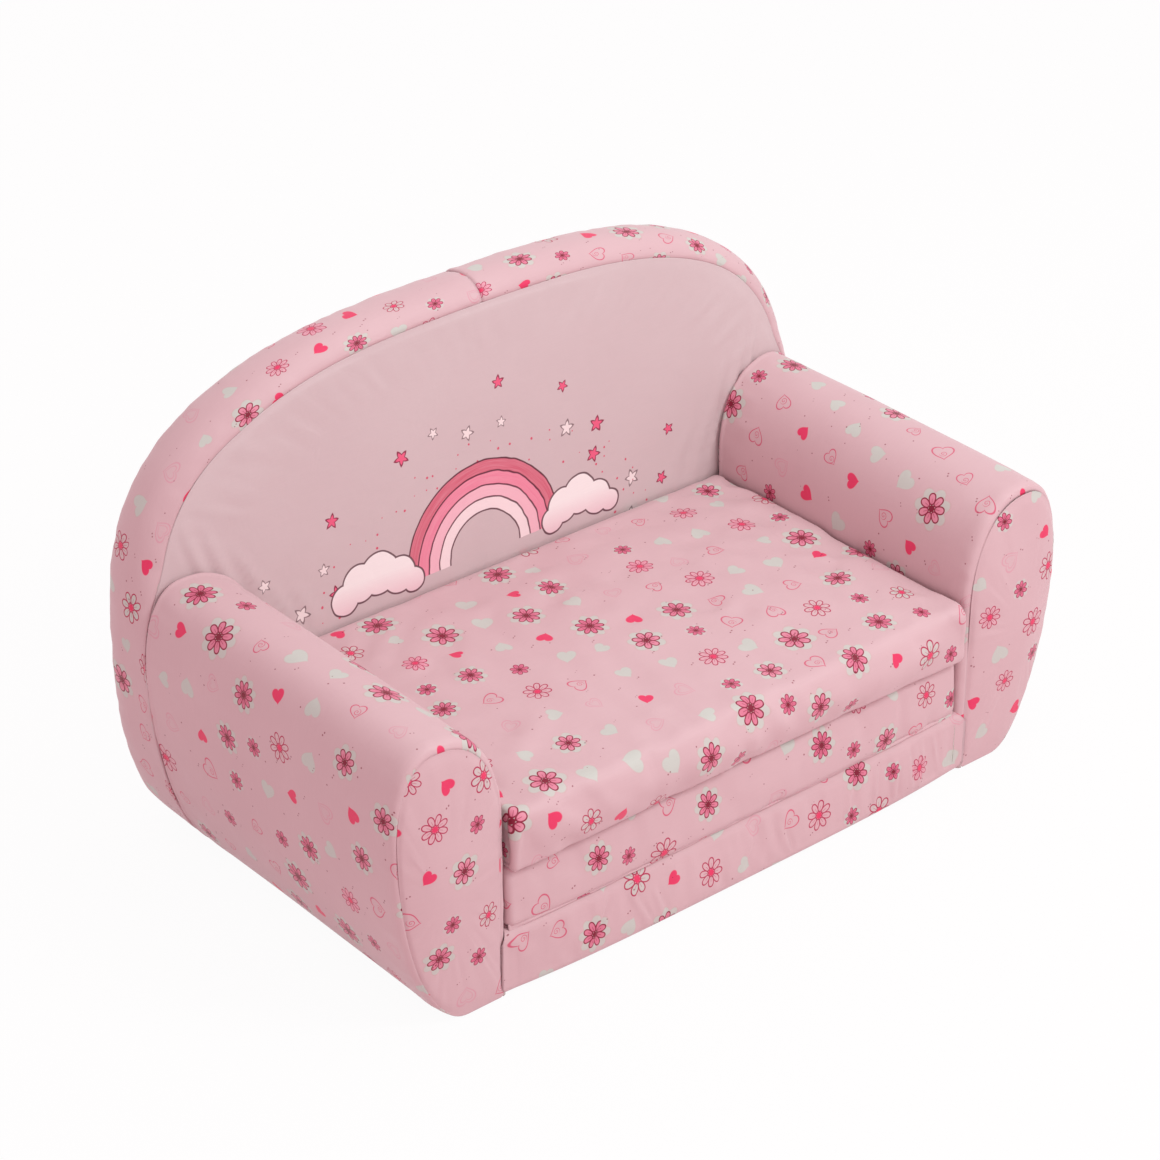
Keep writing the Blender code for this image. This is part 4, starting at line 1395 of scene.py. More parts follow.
@dataclass
class Back(SubAssembly):
    """The arched back: foam, front panel with its picture, border in two halves, and rear panel.

    Attributes:
        arch_power: How square the arch is, 2 being an ellipse.
        front_roll_run: How far back the border's front roll reaches.
        front_roll_inset: How far the front seam is set in above the arms.
        rear_roll_inset: How far the rear seam is set in above the arms.
        rear_low_inset: How far the rear seam is set in beside the arms.
        edge_start_height: Where the insets start to grow.
        edge_full_height: Where they are full.
        zip_height: Where the zip crosses the rear panel.
        step: Distance between the grid's points along a seam.
        lines: Rings of the front panel.
        pull: How closely they crowd at the seam.
        pulls: The folds beside each arm: place, start and end height, width, and height of the fold.
    """

    arch_power: float = 2.88
    front_roll_run: float = 0.048
    front_roll_inset: float = 0.020
    rear_roll_inset: float = 0.015
    rear_low_inset: float = 0.017
    edge_start_height: float = 0.202
    edge_full_height: float = 0.308
    zip_height: float = 0.085
    step: float = 0.0045
    lines: int = 84
    pull: float = 0.7
    pulls: tuple[tuple[float, ...], ...] = (
        (0.262, 0.175, 0.300, 0.0040, 0.0042), (0.243, 0.170, 0.262, 0.0042, 0.0034),
        (0.222, 0.176, 0.245, 0.0048, 0.0026), (0.283, 0.200, 0.325, 0.0042, 0.0036),
        (0.301, 0.225, 0.335, 0.0044, 0.0028),
    )

    def half_outline(self, places: Array) -> Array:
        """The right half of the outline, from the foot to the crest."""
        sizes, widest = self.sizes, self.sizes.widest_height
        return stretches(places, [
            lambda s: arc(s - 1, (sizes.half_foot, widest), (sizes.half_width - sizes.half_foot, widest)),
            lambda s: arc(s, (0.0, widest), (sizes.half_width, sizes.back_height - widest), self.arch_power),
        ])

    def inset_at(self, height: Array, high: float, low: float) -> Array:
        """An inset that grows from its low value beside the arms to its full value above them."""
        blend = smooth_step(height, self.edge_start_height, self.edge_full_height)
        return (low + (high - low) * blend) * np.minimum(height / self.sizes.widest_height, 1.0)

    def half_inset(self, places: Array, high: float, low: float) -> Array:
        """The half outline moved inwards along its own normals."""
        dense = np.linspace(0.0, 2.0, 4001)
        line = self.half_outline(dense)
        steps = np.gradient(line, axis=0)
        inwards = np.stack([-steps[:, 1], steps[:, 0]], axis=1)
        inwards /= np.maximum(np.linalg.norm(inwards, axis=1, keepdims=True), 1e-12)
        inwards[0], inwards[-1] = (0.0, 1.0), (0.0, -1.0)
        moved = line + inwards * self.inset_at(line[:, 1], high, low)[:, None]
        moved[0] = line[0]
        return np.stack([np.interp(places, dense, moved[:, axis]) for axis in (0, 1)], axis=-1)

    def loop(self, places: Array, high: float = 0.0, low: float = 0.0) -> Array:
        """The outline from the right foot over the crest to the left foot, and back along the floor.

        Args:
            places: Places from 0 to 5: two for each half and one for the floor.
            high: How far it is set in above the arms.
            low: How far it is set in beside the arms.

        Returns:
            Points, across and up.
        """
        foot = self.sizes.half_foot
        right = self.half_inset(np.clip(places, 0.0, 2.0), high, low)
        left = self.half_inset(np.clip(4.0 - places, 0.0, 2.0), high, low) * (-1, 1)
        floor = straight(places - 4.0, (-foot, 0.0), (foot, 0.0))
        out = np.where((places > 2.0)[:, None], left, right)
        return np.where((places > 4.0)[:, None], floor, out)

    def front_seam(self, places: Array) -> Array:
        """The seam between the border and the front panel."""
        return self.loop(places, self.front_roll_inset)

    def rear_seam(self, places: Array) -> Array:
        """The seam between the border and the rear panel."""
        return self.loop(places, self.rear_roll_inset, self.rear_low_inset)

    def half_rear_seam(self, places: Array) -> Array:
        """The right half of the rear seam."""
        return self.half_inset(places, self.rear_roll_inset, self.rear_low_inset)

    @property
    def inside(self) -> Array:
        """A point inside the back."""
        y = (self.sizes.back_front_y + self.sizes.back_rear_y) / 2
        return np.array([0.0, y, self.sizes.back_height / 2])

    @property
    def middle(self) -> Array:
        """The middle of the front and rear panels, across and up."""
        return np.array([0.0, self.sizes.widest_height])

    def border_loops(self, places: Array, count: int) -> tuple[Array, Array, Array]:
        """Lines of the border from the front seam to the rear seam.

        Formula: the outline grows from the front seam to its full size and shrinks again to the rear seam,
        each as a quarter ellipse over its own run.

        Args:
            places: Places along the outline.
            count: Half the number of lines.

        Returns:
            The lines' points, across and up, the Y of each line, and its length across the cloth.
        """
        sizes = self.sizes
        front, rear = self.front_roll_run, sizes.back_rear_roll_run
        turn = np.linspace(0.0, 1.0, count)
        roll = 1 - np.cos(turn * math.pi / 2)
        y = np.concatenate([sizes.back_front_y + front * roll, sizes.back_rear_y - rear * roll[::-1]])
        to_front = np.concatenate([rolled(roll), np.zeros(count)])[:, None, None]
        to_rear = np.concatenate([np.zeros(count), rolled(roll[::-1])])[:, None, None]
        flat_run = sizes.back_thickness - front - rear
        across = np.concatenate([turn * front * 1.15, front * 1.15 + flat_run + (1 - turn[::-1]) * rear * 1.15])
        full = self.loop(places)
        front_way, rear_way = self.front_seam(places) - full, self.rear_seam(places) - full
        return full + front_way * to_front + rear_way * to_rear, y, across

    def front_folds(self, x: Array, z: Array) -> Array:
        """Pull folds on the front panel beside both arms, and its soft unevenness."""
        height = np.zeros_like(x)
        lean = 0.30 * (z - 0.19)
        for side, seed in ((-1, 51), (1, 57)):
            for number, (place, start, end, width, size) in enumerate(self.pulls):
                wander = 0.004 * smooth_noise(z / 0.05, z * 0 + number, seed)
                height += fold(side * x - place - lean - wander, z, width, start, end, size)
        height += 0.0016 * smooth_noise(x / 0.11, z / 0.14, 61)
        height += 0.0010 * smooth_noise(x / 0.030, z / 0.12, 62) * smooth_step(0.27 - z, 0.0, 0.09)
        return height

    def build(self) -> None:
        """Makes the back's pieces."""
        self.front_panel()
        self.border_half("right", 0.0, 0.0)
        self.border_half("left", 2.0, 1.3)
        self.rear_panel()
        self.foam_block()

    def front_panel(self) -> None:
        """The front panel, in rings from its middle to its seam."""
        places, _ = even_places(self.front_seam, 0.0, 5.0, self.step)
        shares = crowded(self.lines, self.pull)
        loops = rings(self.front_seam(places[:-1]), self.middle, shares)
        points = stacked(loops[..., 0], self.sizes.back_front_y, loops[..., 1])
        front = Surface(points, first_again(loops), self.inside, wraps=True)
        x, z = loops[..., 0], loops[..., 1]
        away, along = edge_distance(shares, 0.22, x.shape[1], self.step)
        height = self.front_folds(x, z) + seam_dip(away, 0.0018, 0.004) + puckers(away, along, 66, 0.0006, 0.02)
        height = lying(height * smooth_step(z, 0.0, 0.05), 0.0050)
        front = front.pushed(height).moved(set_back).above(0.0004)
        piece = front.object("back_front_cloth")
        self.dress(piece, Slot.PLAIN, Body.SOFA, ["back_front_panel"], COVER_FILL)

    def border_half(self, word: str, first: float, shift: float) -> None:
        """One half of the border, from a foot to the crest or on to the other foot.

        Args:
            word: Its side.
            first: Its first place on the outline, two before its last.
            shift: Where it was cut out of the cloth.
        """
        places, length = even_places(self.loop, first, first + 2.0, self.step)
        loops, y, across = self.border_loops(places, 26)
        points = stacked(loops[..., 0], y[:, None], loops[..., 1])
        strip = Surface(points, stacked(length[None, :], across[:, None]), self.inside)
        along, wide = strip.flat[..., 0], strip.flat[..., 1]
        other = across.max() - wide
        crest_gap = (along.max() - along) if word == "right" else along
        height = seam_dip(wide) + seam_dip(other) + seam_dip(crest_gap, 0.0015, 0.0026)
        height += puckers(wide, along, 71, 0.0007) + puckers(other, along, 73, 0.0006)
        height += puckers(crest_gap, wide, 75, 0.0008, 0.012)
        height += 0.0012 * smooth_noise(along / 0.09, wide / 0.05, 77)
        height *= smooth_step(strip.points[..., 2], 0.0, 0.03)
        strip.flat = strip.flat + (shift, 0.9)
        piece = strip.pushed(height).moved(set_back).above(0.0).object(f"back_border_{word}_cloth")
        self.dress(piece, Slot.PRINT, Body.SOFA, [f"back_border_strip_{word}"], COVER_FILL)

    def rear_panel(self) -> None:
        """The rear panel, in level rows from the floor to the crest, with the zip's groove.

        Formula: a row's half width is the rear seam's distance from the middle at that height, and the rows
        follow the seam's own length, so that they lie close together under the crest.
        """
        places, _ = even_places(self.half_rear_seam, 0.0, 2.0, self.step)
        groove = Groove.of("body_zip_tape")
        dense = np.linspace(0.0, 1.0, 2001)
        extra = np.interp(groove.edge_lines(), self.half_rear_seam(dense)[:, 1], dense)
        edge = self.half_rear_seam(np.unique(np.concatenate([places, extra])))
        across = np.unique(np.concatenate([np.linspace(-1, 1, 131), groove.edge_columns(0.304)]))
        x = edge[:, :1] * across[None, :]
        z = np.broadcast_to(edge[:, 1:], x.shape)
        panel = Surface(stacked(x, self.sizes.back_rear_y, z), stacked(x + 2.1, z + 0.2), self.inside)
        away = np.minimum(edge[:, :1] * (1 - np.abs(across[None, :])), edge[-1, 1] - z)
        height = seam_dip(away, 0.0016, 0.004) + puckers(away, x + z, 81, 0.0006, 0.02)
        from_zip = smooth_step(np.abs(z - self.zip_height), 0.02, 0.05)
        height += 0.0012 * smooth_noise(x / 0.10, z / 0.12, 83) * from_zip
        height = np.minimum(height, 0.0006) * smooth_step(z, 0.0, 0.03) * groove.clear(x, z)
        piece = panel.pushed(height - groove.depth_at(x, z)).object("back_rear_cloth")
        self.dress(piece, Slot.PRINT, Body.SOFA, ["back_rear_panel"], COVER_FILL)

    def foam_block(self) -> None:
        """The foam of the back, from the front panel's middle to the rear panel's."""
        front_y, rear_y = self.sizes.back_front_y, self.sizes.back_rear_y
        places = even_places(self.loop, 0.0, 5.0, 0.010)[0][:-1]
        border, y, _ = self.border_loops(places, 7)
        front, rear = np.linspace(0, 1, 18)[:-1], np.linspace(1, 0, 18)[1:]
        loops = np.concatenate([
            rings(self.front_seam(places), self.middle, front), border,
            rings(self.rear_seam(places), self.middle, rear),
        ])
        y = np.concatenate([np.full(len(front), front_y), y, np.full(len(rear), rear_y)])
        points = stacked(loops[..., 0], y[:, None], loops[..., 1])
        block = Surface.block(points, self.inside).pushed(-FOAM_INSET - 0.006 * (points[..., 1] > rear_y - 0.001))
        self.foam(block.moved(set_back).above(FOAM_INSET), "back")


@dataclass(frozen=True)
class Groove:
    """The shallow groove that a zip lies in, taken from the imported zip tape.

    Attributes:
        low: The tape's lowest corner.
        high: The tape's highest corner.
        depth: The groove's depth.
        slack: How far the groove is wider than the tape.
    """

    low: Vector
    high: Vector
    depth: float = 0.0056
    slack: float = 0.0008
    bank: float = 0.0012

    @classmethod
    def of(cls, tape: str) -> "Groove":
        """The groove of a packed tape."""
        return cls(*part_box(tape))

    def edge_lines(self) -> Array:
        """Heights at which the grid needs lines, on both sides of the groove's banks."""
        low, high = self.low.z - self.slack, self.high.z + self.slack
        return np.array([low - self.bank, low - self.bank / 2, low, high, high + self.bank / 2, high + self.bank])

    def edge_columns(self, half_width: float) -> Array:
        """Shares of a half width at which the grid needs columns, at the groove's ends."""
        end = self.high.x + self.slack
        places = np.array([end, end + self.bank / 2, end + self.bank]) / half_width
        return np.concatenate([-places, places])

    def share(self, x: Array, z: Array, margin: float = 0.0) -> Array:
        """1 inside the groove and 0 outside it, with a steep bank between."""
        over = np.maximum(
            np.maximum(self.low.z - self.slack - z, z - self.high.z - self.slack),
            np.maximum(self.low.x - self.slack - x, x - self.high.x - self.slack),
        )
        return 1 - smooth_step(over, margin, margin + self.bank)

    def depth_at(self, x: Array, z: Array) -> Array:
        """How deep the groove is at each place."""
        return self.depth * self.share(x, z)

    def clear(self, x: Array, z: Array) -> Array:
        """0 in and beside the groove and 1 away from it, to keep the cloth flat round the zip."""
        return 1 - self.share(x, z, 0.004)


@dataclass
class Base(SubAssembly):
    """The fixed base under the pads: foam, front panel, deck cloth, and the cloth under the whole sofa.

    Attributes:
        edge_radius: Radius of the front's upper edge.
        low_radius: Radius of its lower edge.
        hem_run: How far the front panel is turned in under the base.
        front_bow: How far it bows out at the floor.
        bow_power: How evenly it does so along the seat.
        valley_reach: How far its ends are drawn in beside the arms.
        most_fold: How far a fold stands out at most.
        turned_in: How far its ends are turned in.
        front_cut: Where it was cut out of the cloth.
        pulls: Its folds: place and slope, start and end height, and height of the fold.
    """

    edge_radius: float = 0.010
    low_radius: float = 0.006
    hem_run: float = 0.016
    front_bow: float = 0.008
    bow_power: float = 4.0
    valley_reach: float = 0.0096
    most_fold: float = 0.0030
    turned_in: float = 0.016
    front_cut: float = 3.335
    pulls: tuple[tuple[float, float, float, float, float], ...] = (
        (-0.196, 0.55, 0.006, 0.060, 0.0034), (-0.118, -0.45, 0.002, 0.052, 0.0032),
        (-0.101, -0.30, 0.004, 0.044, 0.0024), (-0.020, 0.60, 0.010, 0.060, 0.0027),
        (0.052, -0.35, 0.002, 0.050, 0.0030), (0.118, 0.25, 0.004, 0.061, 0.0030),
        (0.158, 0.08, 0.003, 0.060, 0.0036), (0.184, 0.05, 0.003, 0.054, 0.0030),
        (0.209, -0.10, 0.003, 0.060, 0.0038), (0.231, -0.15, 0.003, 0.057, 0.0032),
        (0.249, -0.20, 0.004, 0.060, 0.0030),
    )

    @property
    def inside(self) -> Array:
        """A point inside the base."""
        return np.array([0.0, (self.sizes.front_y + self.sizes.back_front_y) / 2, self.sizes.base_height / 2])

    @property
    def reach(self) -> float:
        """How far the base reaches to each side."""
        return self.sizes.half_seat - self.sizes.clearance

    def outline(self, places: Array, inset: float = 0.0) -> Array:
        """Section across Y and Z: top, rounded edge, face, low edge, hem and underside."""
        sizes = self.sizes
        top, front, rear = sizes.base_height - inset, sizes.front_y + inset, sizes.back_front_y - sizes.clearance
        radius, low = max(self.edge_radius - inset, 0.002), max(self.low_radius - inset, 0.002)
        hem, floor = sizes.front_y + self.hem_run + inset, inset
        return stretches(places, [
            lambda s: straight(s, (rear, top), (front + radius, top)),
            lambda s: arc(s + 1, (front + radius, top - radius), (radius, radius)),
            lambda s: straight(s, (front, top - radius), (front, floor + low)),
            lambda s: arc(s + 2, (front + low, floor + low), (low, low)),
            lambda s: straight(s, (front + low, floor), (hem, floor)),
            lambda s: straight(s, (hem, floor), (rear, floor)),
            lambda s: straight(s, (rear, floor), (rear, top)),
        ])

    def bowed(self, points: Array) -> Array:
        """Bows the front out towards the floor, by the bow times one minus x^4 and one minus the height squared."""
        x, y, z = np.moveaxis(points, -1, 0)
        swell = 1 - np.clip(np.abs(x) / self.reach, 0, 1) ** self.bow_power
        low = 1 - (z / self.sizes.base_height) ** 2
        ahead = np.clip((self.sizes.front_y + self.hem_run - y) / (self.hem_run - self.low_radius), 0.0, 1.0)
        return stacked(x, y - self.front_bow * swell * low * ahead, z)

    def to_arms(self, points: Array) -> Array:
        """Draws the panel's ends into the valleys beside the arms' rolled front edges, where they are sewn on.

        Formula: X grows, within the last 8 mm, by the depth that the arm's quarter-circle edge is still set in.
        """
        sizes = self.sizes
        x, y, z = np.moveaxis(points, -1, 0)
        near = smooth_step(np.abs(x), sizes.half_seat - 0.008, self.reach)
        valley = rolled(np.clip((y - sizes.front_y) / sizes.arm_roll_run, 0.0, 1.0))
        return stacked(x + np.sign(x) * self.valley_reach * valley * near, y, z)

    def length_of(
        self, first: float, last: float, step: float, pieces: int, shift: float = 0.0, turned_in: float = 0.0
    ) -> Surface:
        """Part of the section, carried along the seat.

        Args:
            first: The part's first place on the section.
            last: Its last place.
            step: Distance between the points round it.
            pieces: Number of sections along the seat.
            shift: Where it was cut out of the cloth.
            turned_in: How far its ends are turned in.

        Returns:
            The surface, bowed out in front.
        """
        places, length = even_places(self.outline, first, last, step)
        x = crowded(pieces, 0.5) * 2 * self.reach - self.reach
        folded = np.linspace(turned_in, 0.0, 9)[:-1] if turned_in else np.empty(0)
        insets = np.concatenate([folded, np.zeros(pieces), folded[::-1]])
        x = np.concatenate([np.full(len(folded), x[0]), x, np.full(len(folded), x[-1])])[:, None]
        section = np.stack([self.outline(places, inset) for inset in insets])
        flat = stacked(x + np.sign(x) * insets[:, None] + shift, length[None, :])
        return Surface(stacked(x, section[..., 0], section[..., 1]), flat, self.inside).moved(self.bowed)

    def build(self) -> None:
        """Makes the base's pieces."""
        self.front_panel()
        self.deck()
        self.underside()
        block = capped(self.length_of(0.0, 7.0, 0.008, 60).points[:, :-1])
        self.foam(Surface.block(block, self.inside).pushed(-FOAM_INSET), "base")

    def front_panel(self) -> None:
        """The front panel with its gathers, its pull folds, and folds that fan out from its upper left corner."""
        sizes = self.sizes
        panel = self.length_of(1.0, 5.0, 0.0026, 300, self.front_cut, self.turned_in)
        x, _, z = np.moveaxis(panel.points, -1, 0)
        end = self.reach - np.abs(x)
        face = smooth_step(z, 0.004, 0.014) * smooth_step(sizes.base_height - z, 0.002, 0.016)
        gathers = smooth_noise(x / 0.011, z / 0.050, 91) + 0.7 * smooth_noise(x / 0.026, z / 0.08, 92)
        patch = 0.45 + 0.55 * smooth_noise(x / 0.09, z * 0, 93)
        right = 1 + 1.2 * smooth_step(x, 0.13, 0.24) * smooth_step(0.045 - z, 0.0, 0.03)
        height = 0.0040 * gathers * patch * right * face * smooth_step(end, 0.0, 0.012)
        for place, slope, start, stop, most in self.pulls:
            height += fold(x - place - slope * z, z, 0.0030, start, stop, most) * face
        pinch = np.hypot(x + sizes.half_seat, z - sizes.base_height)
        rays = np.sin(7 * np.arctan2(sizes.base_height - z, x + sizes.half_seat) + 0.6)
        fan = 0.0016 * rays * np.exp(-pinch / 0.035) * smooth_step(pinch, 0.0, 0.012)
        height += fan * face * smooth_step(end, 0.0, 0.004)
        panel = panel.pushed(lying(height, self.most_fold)).moved(self.to_arms).above(0.0)
        self.dress(panel.object("base_front_cloth"), Slot.PRINT, Body.SOFA, ["base_front_panel"], COVER_FILL)

    def deck(self) -> None:
        """The plain cloth on top, under the pads, which sags a little."""
        deck = self.length_of(0.0, 1.0, 0.008, 80)
        sag = 0.0006 * smooth_noise(deck.points[..., 0] / 0.05, deck.points[..., 1] / 0.05, 95) - 0.0006
        piece = deck.pushed(sag).object("base_deck_lining")
        self.dress(piece, Slot.LINING, Body.SOFA, ["base_deck_cloth"])

    def underside(self) -> None:
        """The plain cloth under the sofa, which is flat where it stands."""
        low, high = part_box("underside_cloth")
        x, y = np.linspace(low.x, high.x, 90)[:, None], np.linspace(low.y, high.y, 60)
        sheet = Surface(stacked(x, y, 0.0), stacked(x, y), np.array([0.0, 0.0, 0.2]))
        piece = self.dress(sheet.object("underside_lining"), Slot.LINING, Body.SOFA, ["underside_cloth"])


@dataclass
class Pad(SubAssembly):
    """One loose pad: foam, a cover wrapped round it, and a gusset at each end.

    Attributes:
        word: The pad's name.
        body: The body that it moves with.
        front: Where its front face stands.
        low: Where its underside lies.
        front_crown: How far its front bulges.
        crown: How far its top bulges.
        front_draw: How far the front's ends stand further forward than its middle.
        lip: How far the seam below draws the front's lower edge forward.
        seed: Which set of random numbers its folds take.
        shift: Where its cover was cut out of the cloth.
        front_radii: Radii of the front's upper and lower edge.
        most_fold: How far a fold of its front stands out at most.
        most_loose: How far one stands out elsewhere.
        edge_radius: Radius of the other edges.
        seam_radius: Radius of the edges at the end seams.
        end_roll: How far the cover is drawn in at the end seams.
        side_draw: How far the ends are hollow.
        crown_power: How evenly the pad bulges along its length.
        fade_power: How fast the front's bulge fades out behind it.
        step: Distance between the grid's points round the pad.
        front_folds: Height of the front's upright folds.
        length_cut: Where the cloth's length was cut out.
        cover: The loose cover's simulation.
    """

    word: str = "top_pad"
    body: Body = Body.TOP
    front: float = 0.0
    low: float = 0.0
    front_crown: float = 0.010
    crown: float = 0.007
    front_draw: float = 0.003
    lip: float = 0.0
    seed: int = 101
    shift: float = 0.0
    front_radii: Pair = (0.010, 0.0050)
    most_fold: float = 0.0036
    most_loose: float = 0.0045
    edge_radius: float = 0.010
    seam_radius: float = 0.004
    end_roll: float = 0.007
    side_draw: float = 0.0015
    crown_power: float = 4.0
    fade_power: float = 12.0
    step: float = 0.0040
    front_folds: float = 0.0058
    length_cut: float = 0.3
    cover: LooseCover = LooseCover()

    @property
    def inside(self) -> Array:
        """A point inside the pad."""
        return np.array([0.0, (self.front + self.sizes.pad_rear_y) / 2, self.low + self.sizes.pad_thickness / 2])

    @property
    def groove(self) -> Groove:
        """The zip's groove in the pad's rear side."""
        return Groove.of(self.word + "_zip_tape")

    def section(self, places: Array, inset: float, radius: float) -> Array:
        """Section across Y and Z, from the low rear edge over the rear side, the top, the front and back below."""
        front, rear = self.front + inset, self.sizes.pad_rear_y - inset
        low, high = self.low + inset, self.low + self.sizes.pad_thickness - inset
        far, down, up = rear - radius, low + radius, high - radius
        upper, lower = (min(radius, limit) for limit in self.front_radii)
        radii = (radius, radius)
        return stretches(places, [
            lambda s: arc(s + 3, (far, down), radii),
            lambda s: straight(s, (rear, down), (rear, up)),
            lambda s: arc(s, (far, up), radii),
            lambda s: straight(s, (far, high), (front + upper, high)),
            lambda s: arc(s + 1, (front + upper, high - upper), (upper, upper)),
            lambda s: straight(s, (front, high - upper), (front, low + lower)),
            lambda s: arc(s + 2, (front + lower, low + lower), (lower, lower)),
            lambda s: straight(s, (front + lower, low), (far, low)),
        ])

    def full(self, places: Array) -> Array:
        """The pad's full section."""
        return self.section(places, 0.0, self.edge_radius)

    def seam(self, places: Array) -> Array:
        """The section at the end seams."""
        return self.section(places, self.end_roll, self.seam_radius)

    def stood(self, places: Array, x: Array) -> Array:
        """The section at every station, drawn in as a quarter circle at the end seams."""
        share = np.clip((self.sizes.half_pad - np.abs(x)) / self.end_roll, 0.0, 1.0)
        loops = rolled_in(self.full(places), self.seam(places), share)
        return stacked(x[:, None], loops[..., 0], loops[..., 1])

    def cushioned(self, points: Array) -> Array:
        """Gives the pad its crown, its rounded front and its drawn-in sides."""
        sizes = self.sizes
        x, y, z = np.moveaxis(points, -1, 0)
        along = np.abs(x) / sizes.half_pad
        swell = 1 - np.minimum(along, 1.0) ** self.crown_power
        depth = sizes.pad_rear_y - self.front
        across = np.clip((y - self.front) / depth, 0.0, 1.0) * 2 - 1
        height = (z - self.low) / sizes.pad_thickness
        near_front = np.clip((sizes.pad_rear_y - y) / depth, 0.0, 1.0) ** self.fade_power
        middle = 1 - (2 * height - 1) ** 2
        lip = self.lip * np.clip(1.15 - height, 0.0, 1.0) ** 1.5 * (0.3 + 0.7 * swell)
        forward = (self.front_crown * middle**2 * swell + lip - self.front_draw * (1 - along**2)) * near_front
        raised = self.crown * swell * (1 - across**2) * height**2
        drawn = np.sign(x) * self.side_draw * (1 - across**2) * middle * along**self.crown_power
        return stacked(x - drawn, y - forward, z + raised)

    def lines(self) -> tuple[Array, Array]:
        """Places round the section, with lines at the zip's groove, and their lengths."""
        places, _ = even_places(self.full, 0.0, 8.0, self.step)
        rear = (self.low + self.edge_radius, self.low + self.sizes.pad_thickness - self.edge_radius)
        extra = 1 + (self.groove.edge_lines() - rear[0]) / (rear[1] - rear[0])
        places = np.unique(np.concatenate([places, extra]))
        steps = np.linalg.norm(np.diff(self.full(places), axis=0), axis=1)
        return places, np.concatenate([[0.0], np.cumsum(steps)])

    def cut_at(self, place: float) -> Pair:
        """Where the cloth at a place of the section was cut out of the printed cloth, at the pad's middle."""
        return self.shift, float(np.interp(place, *self.lines())) + self.length_cut

    def stations(self) -> Array:
        """Places along the pad, crowded at the end seams and at the zip's ends."""
        half = self.sizes.half_pad
        return np.unique(np.concatenate([(crowded(150, 0.75) * 2 - 1) * half, self.groove.edge_columns(half) * half]))

    def at_front(self, y: Array) -> Array:
        """1 on the front face, which fades out behind it."""
        return smooth_step(self.front + 0.012 - y, 0.0, 0.010)

    def wrinkles(self, surface: Surface) -> Array:
        """Soft folds of the loose cover: upright on the front face, and broad and shallow on the top."""
        sizes, seed = self.sizes, self.seed
        x, y, z = np.moveaxis(surface.points, -1, 0)
        end, around = np.broadcast_arrays(sizes.half_pad - np.abs(x), np.arange(x.shape[1])[None, :] * self.step)
        height = seam_dip(end, 0.0014, 0.0030) + puckers(end, around, seed, 0.0007)
        front = self.at_front(y)
        upright = smooth_noise(x / 0.013, z / 0.055, seed + 2) + 0.8 * smooth_noise(x / 0.030, z / 0.07, seed + 3)
        patch = np.clip(0.35 + 0.65 * smooth_noise(x / 0.075, z * 0, seed + 4), 0.0, 1.0)
        height += self.front_folds * upright * patch * front
        height += 0.0038 * creased(x / 0.034 + z / 0.060, z / 0.055, seed + 22) * front
        top = smooth_step(z, self.low + sizes.pad_thickness - 0.004, self.low + sizes.pad_thickness)
        broad = smooth_noise(x / 0.075, y / 0.060, seed + 5) + 0.5 * smooth_noise(x / 0.035, y / 0.045, seed + 6)
        height += 0.0020 * broad * top
        where = np.clip(0.4 + smooth_noise(x / 0.10, y / 0.10, seed + 23), 0.0, 1.0)
        height += 0.0042 * creased(x / 0.042 + y / 0.070, y / 0.050 - x / 0.090, seed + 21) * where * top
        edge = top * np.exp(-np.maximum(y - self.front - 0.010, 0.0) / 0.030)
        return height + 0.0020 * smooth_noise(x / 0.020, y / 0.08, seed + 7) * edge

    def loose_folds(self, x: Array, places: Array) -> Array:
        """The cover's simulated folds, read at the fine grid's stations and places."""
        sizes = self.sizes
        coarse, _ = even_places(self.full, 0.0, 8.0, 0.0055)
        stations = np.linspace(-sizes.half_pad, sizes.half_pad, 100)
        cover = Surface.block(self.stood(coarse[:-1], stations), self.inside).moved(self.cushioned)
        across, y, z = np.moveaxis(cover.points, -1, 0)
        free = smooth_step(sizes.half_pad - np.abs(across), 0.0, 0.012)
        free *= smooth_step(z, self.low + 0.0005, self.low + 0.006)
        free *= 1 - smooth_step(y, sizes.pad_rear_y - 0.030, sizes.pad_rear_y - 0.012)
        fine = between_lines(self.cover.folds(cover, free), stations, x)
        return softened(between_lines(first_again(fine).T, coarse, places[:-1]).T, 1)

    def build(self) -> None:
        """Makes the pad's pieces."""
        self.wrap()
        for word, side in (("left", -1), ("right", 1)):
            self.gusset(word, side)
        self.foam_block()

    def wrap(self) -> None:
        """The cover's length, with its folds and the zip's groove."""
        stations, (places, length) = self.stations(), self.lines()
        folds = self.loose_folds(stations, places)
        flat = stacked(stations[:, None] + self.shift, length[None, :] + self.length_cut)
        wrap = Surface(self.stood(places[:-1], stations), flat, self.inside, wraps=True).moved(self.cushioned)
        x, y, z = np.moveaxis(wrap.points, -1, 0)
        rear = smooth_step(y, self.sizes.pad_rear_y - 0.011, self.sizes.pad_rear_y - 0.009)
        low_side = smooth_step(self.low + 0.004 - z, 0.0, 0.003)
        most = self.most_loose + (self.most_fold - self.most_loose) * self.at_front(y)
        height = lying(self.wrinkles(wrap) + folds, most)
        height = np.where(low_side > 0, np.minimum(height, 0.0), height)
        height = np.where(rear > 0, np.minimum(height, 0.0) * self.groove.clear(x, z), height)
        wrap = wrap.pushed(height - self.groove.depth_at(x, z) * rear)
        self.dress(wrap.object(self.word + "_wrap_cloth"), Slot.PRINT, self.body, [self.word + "_wrap"], PAD_FILL)

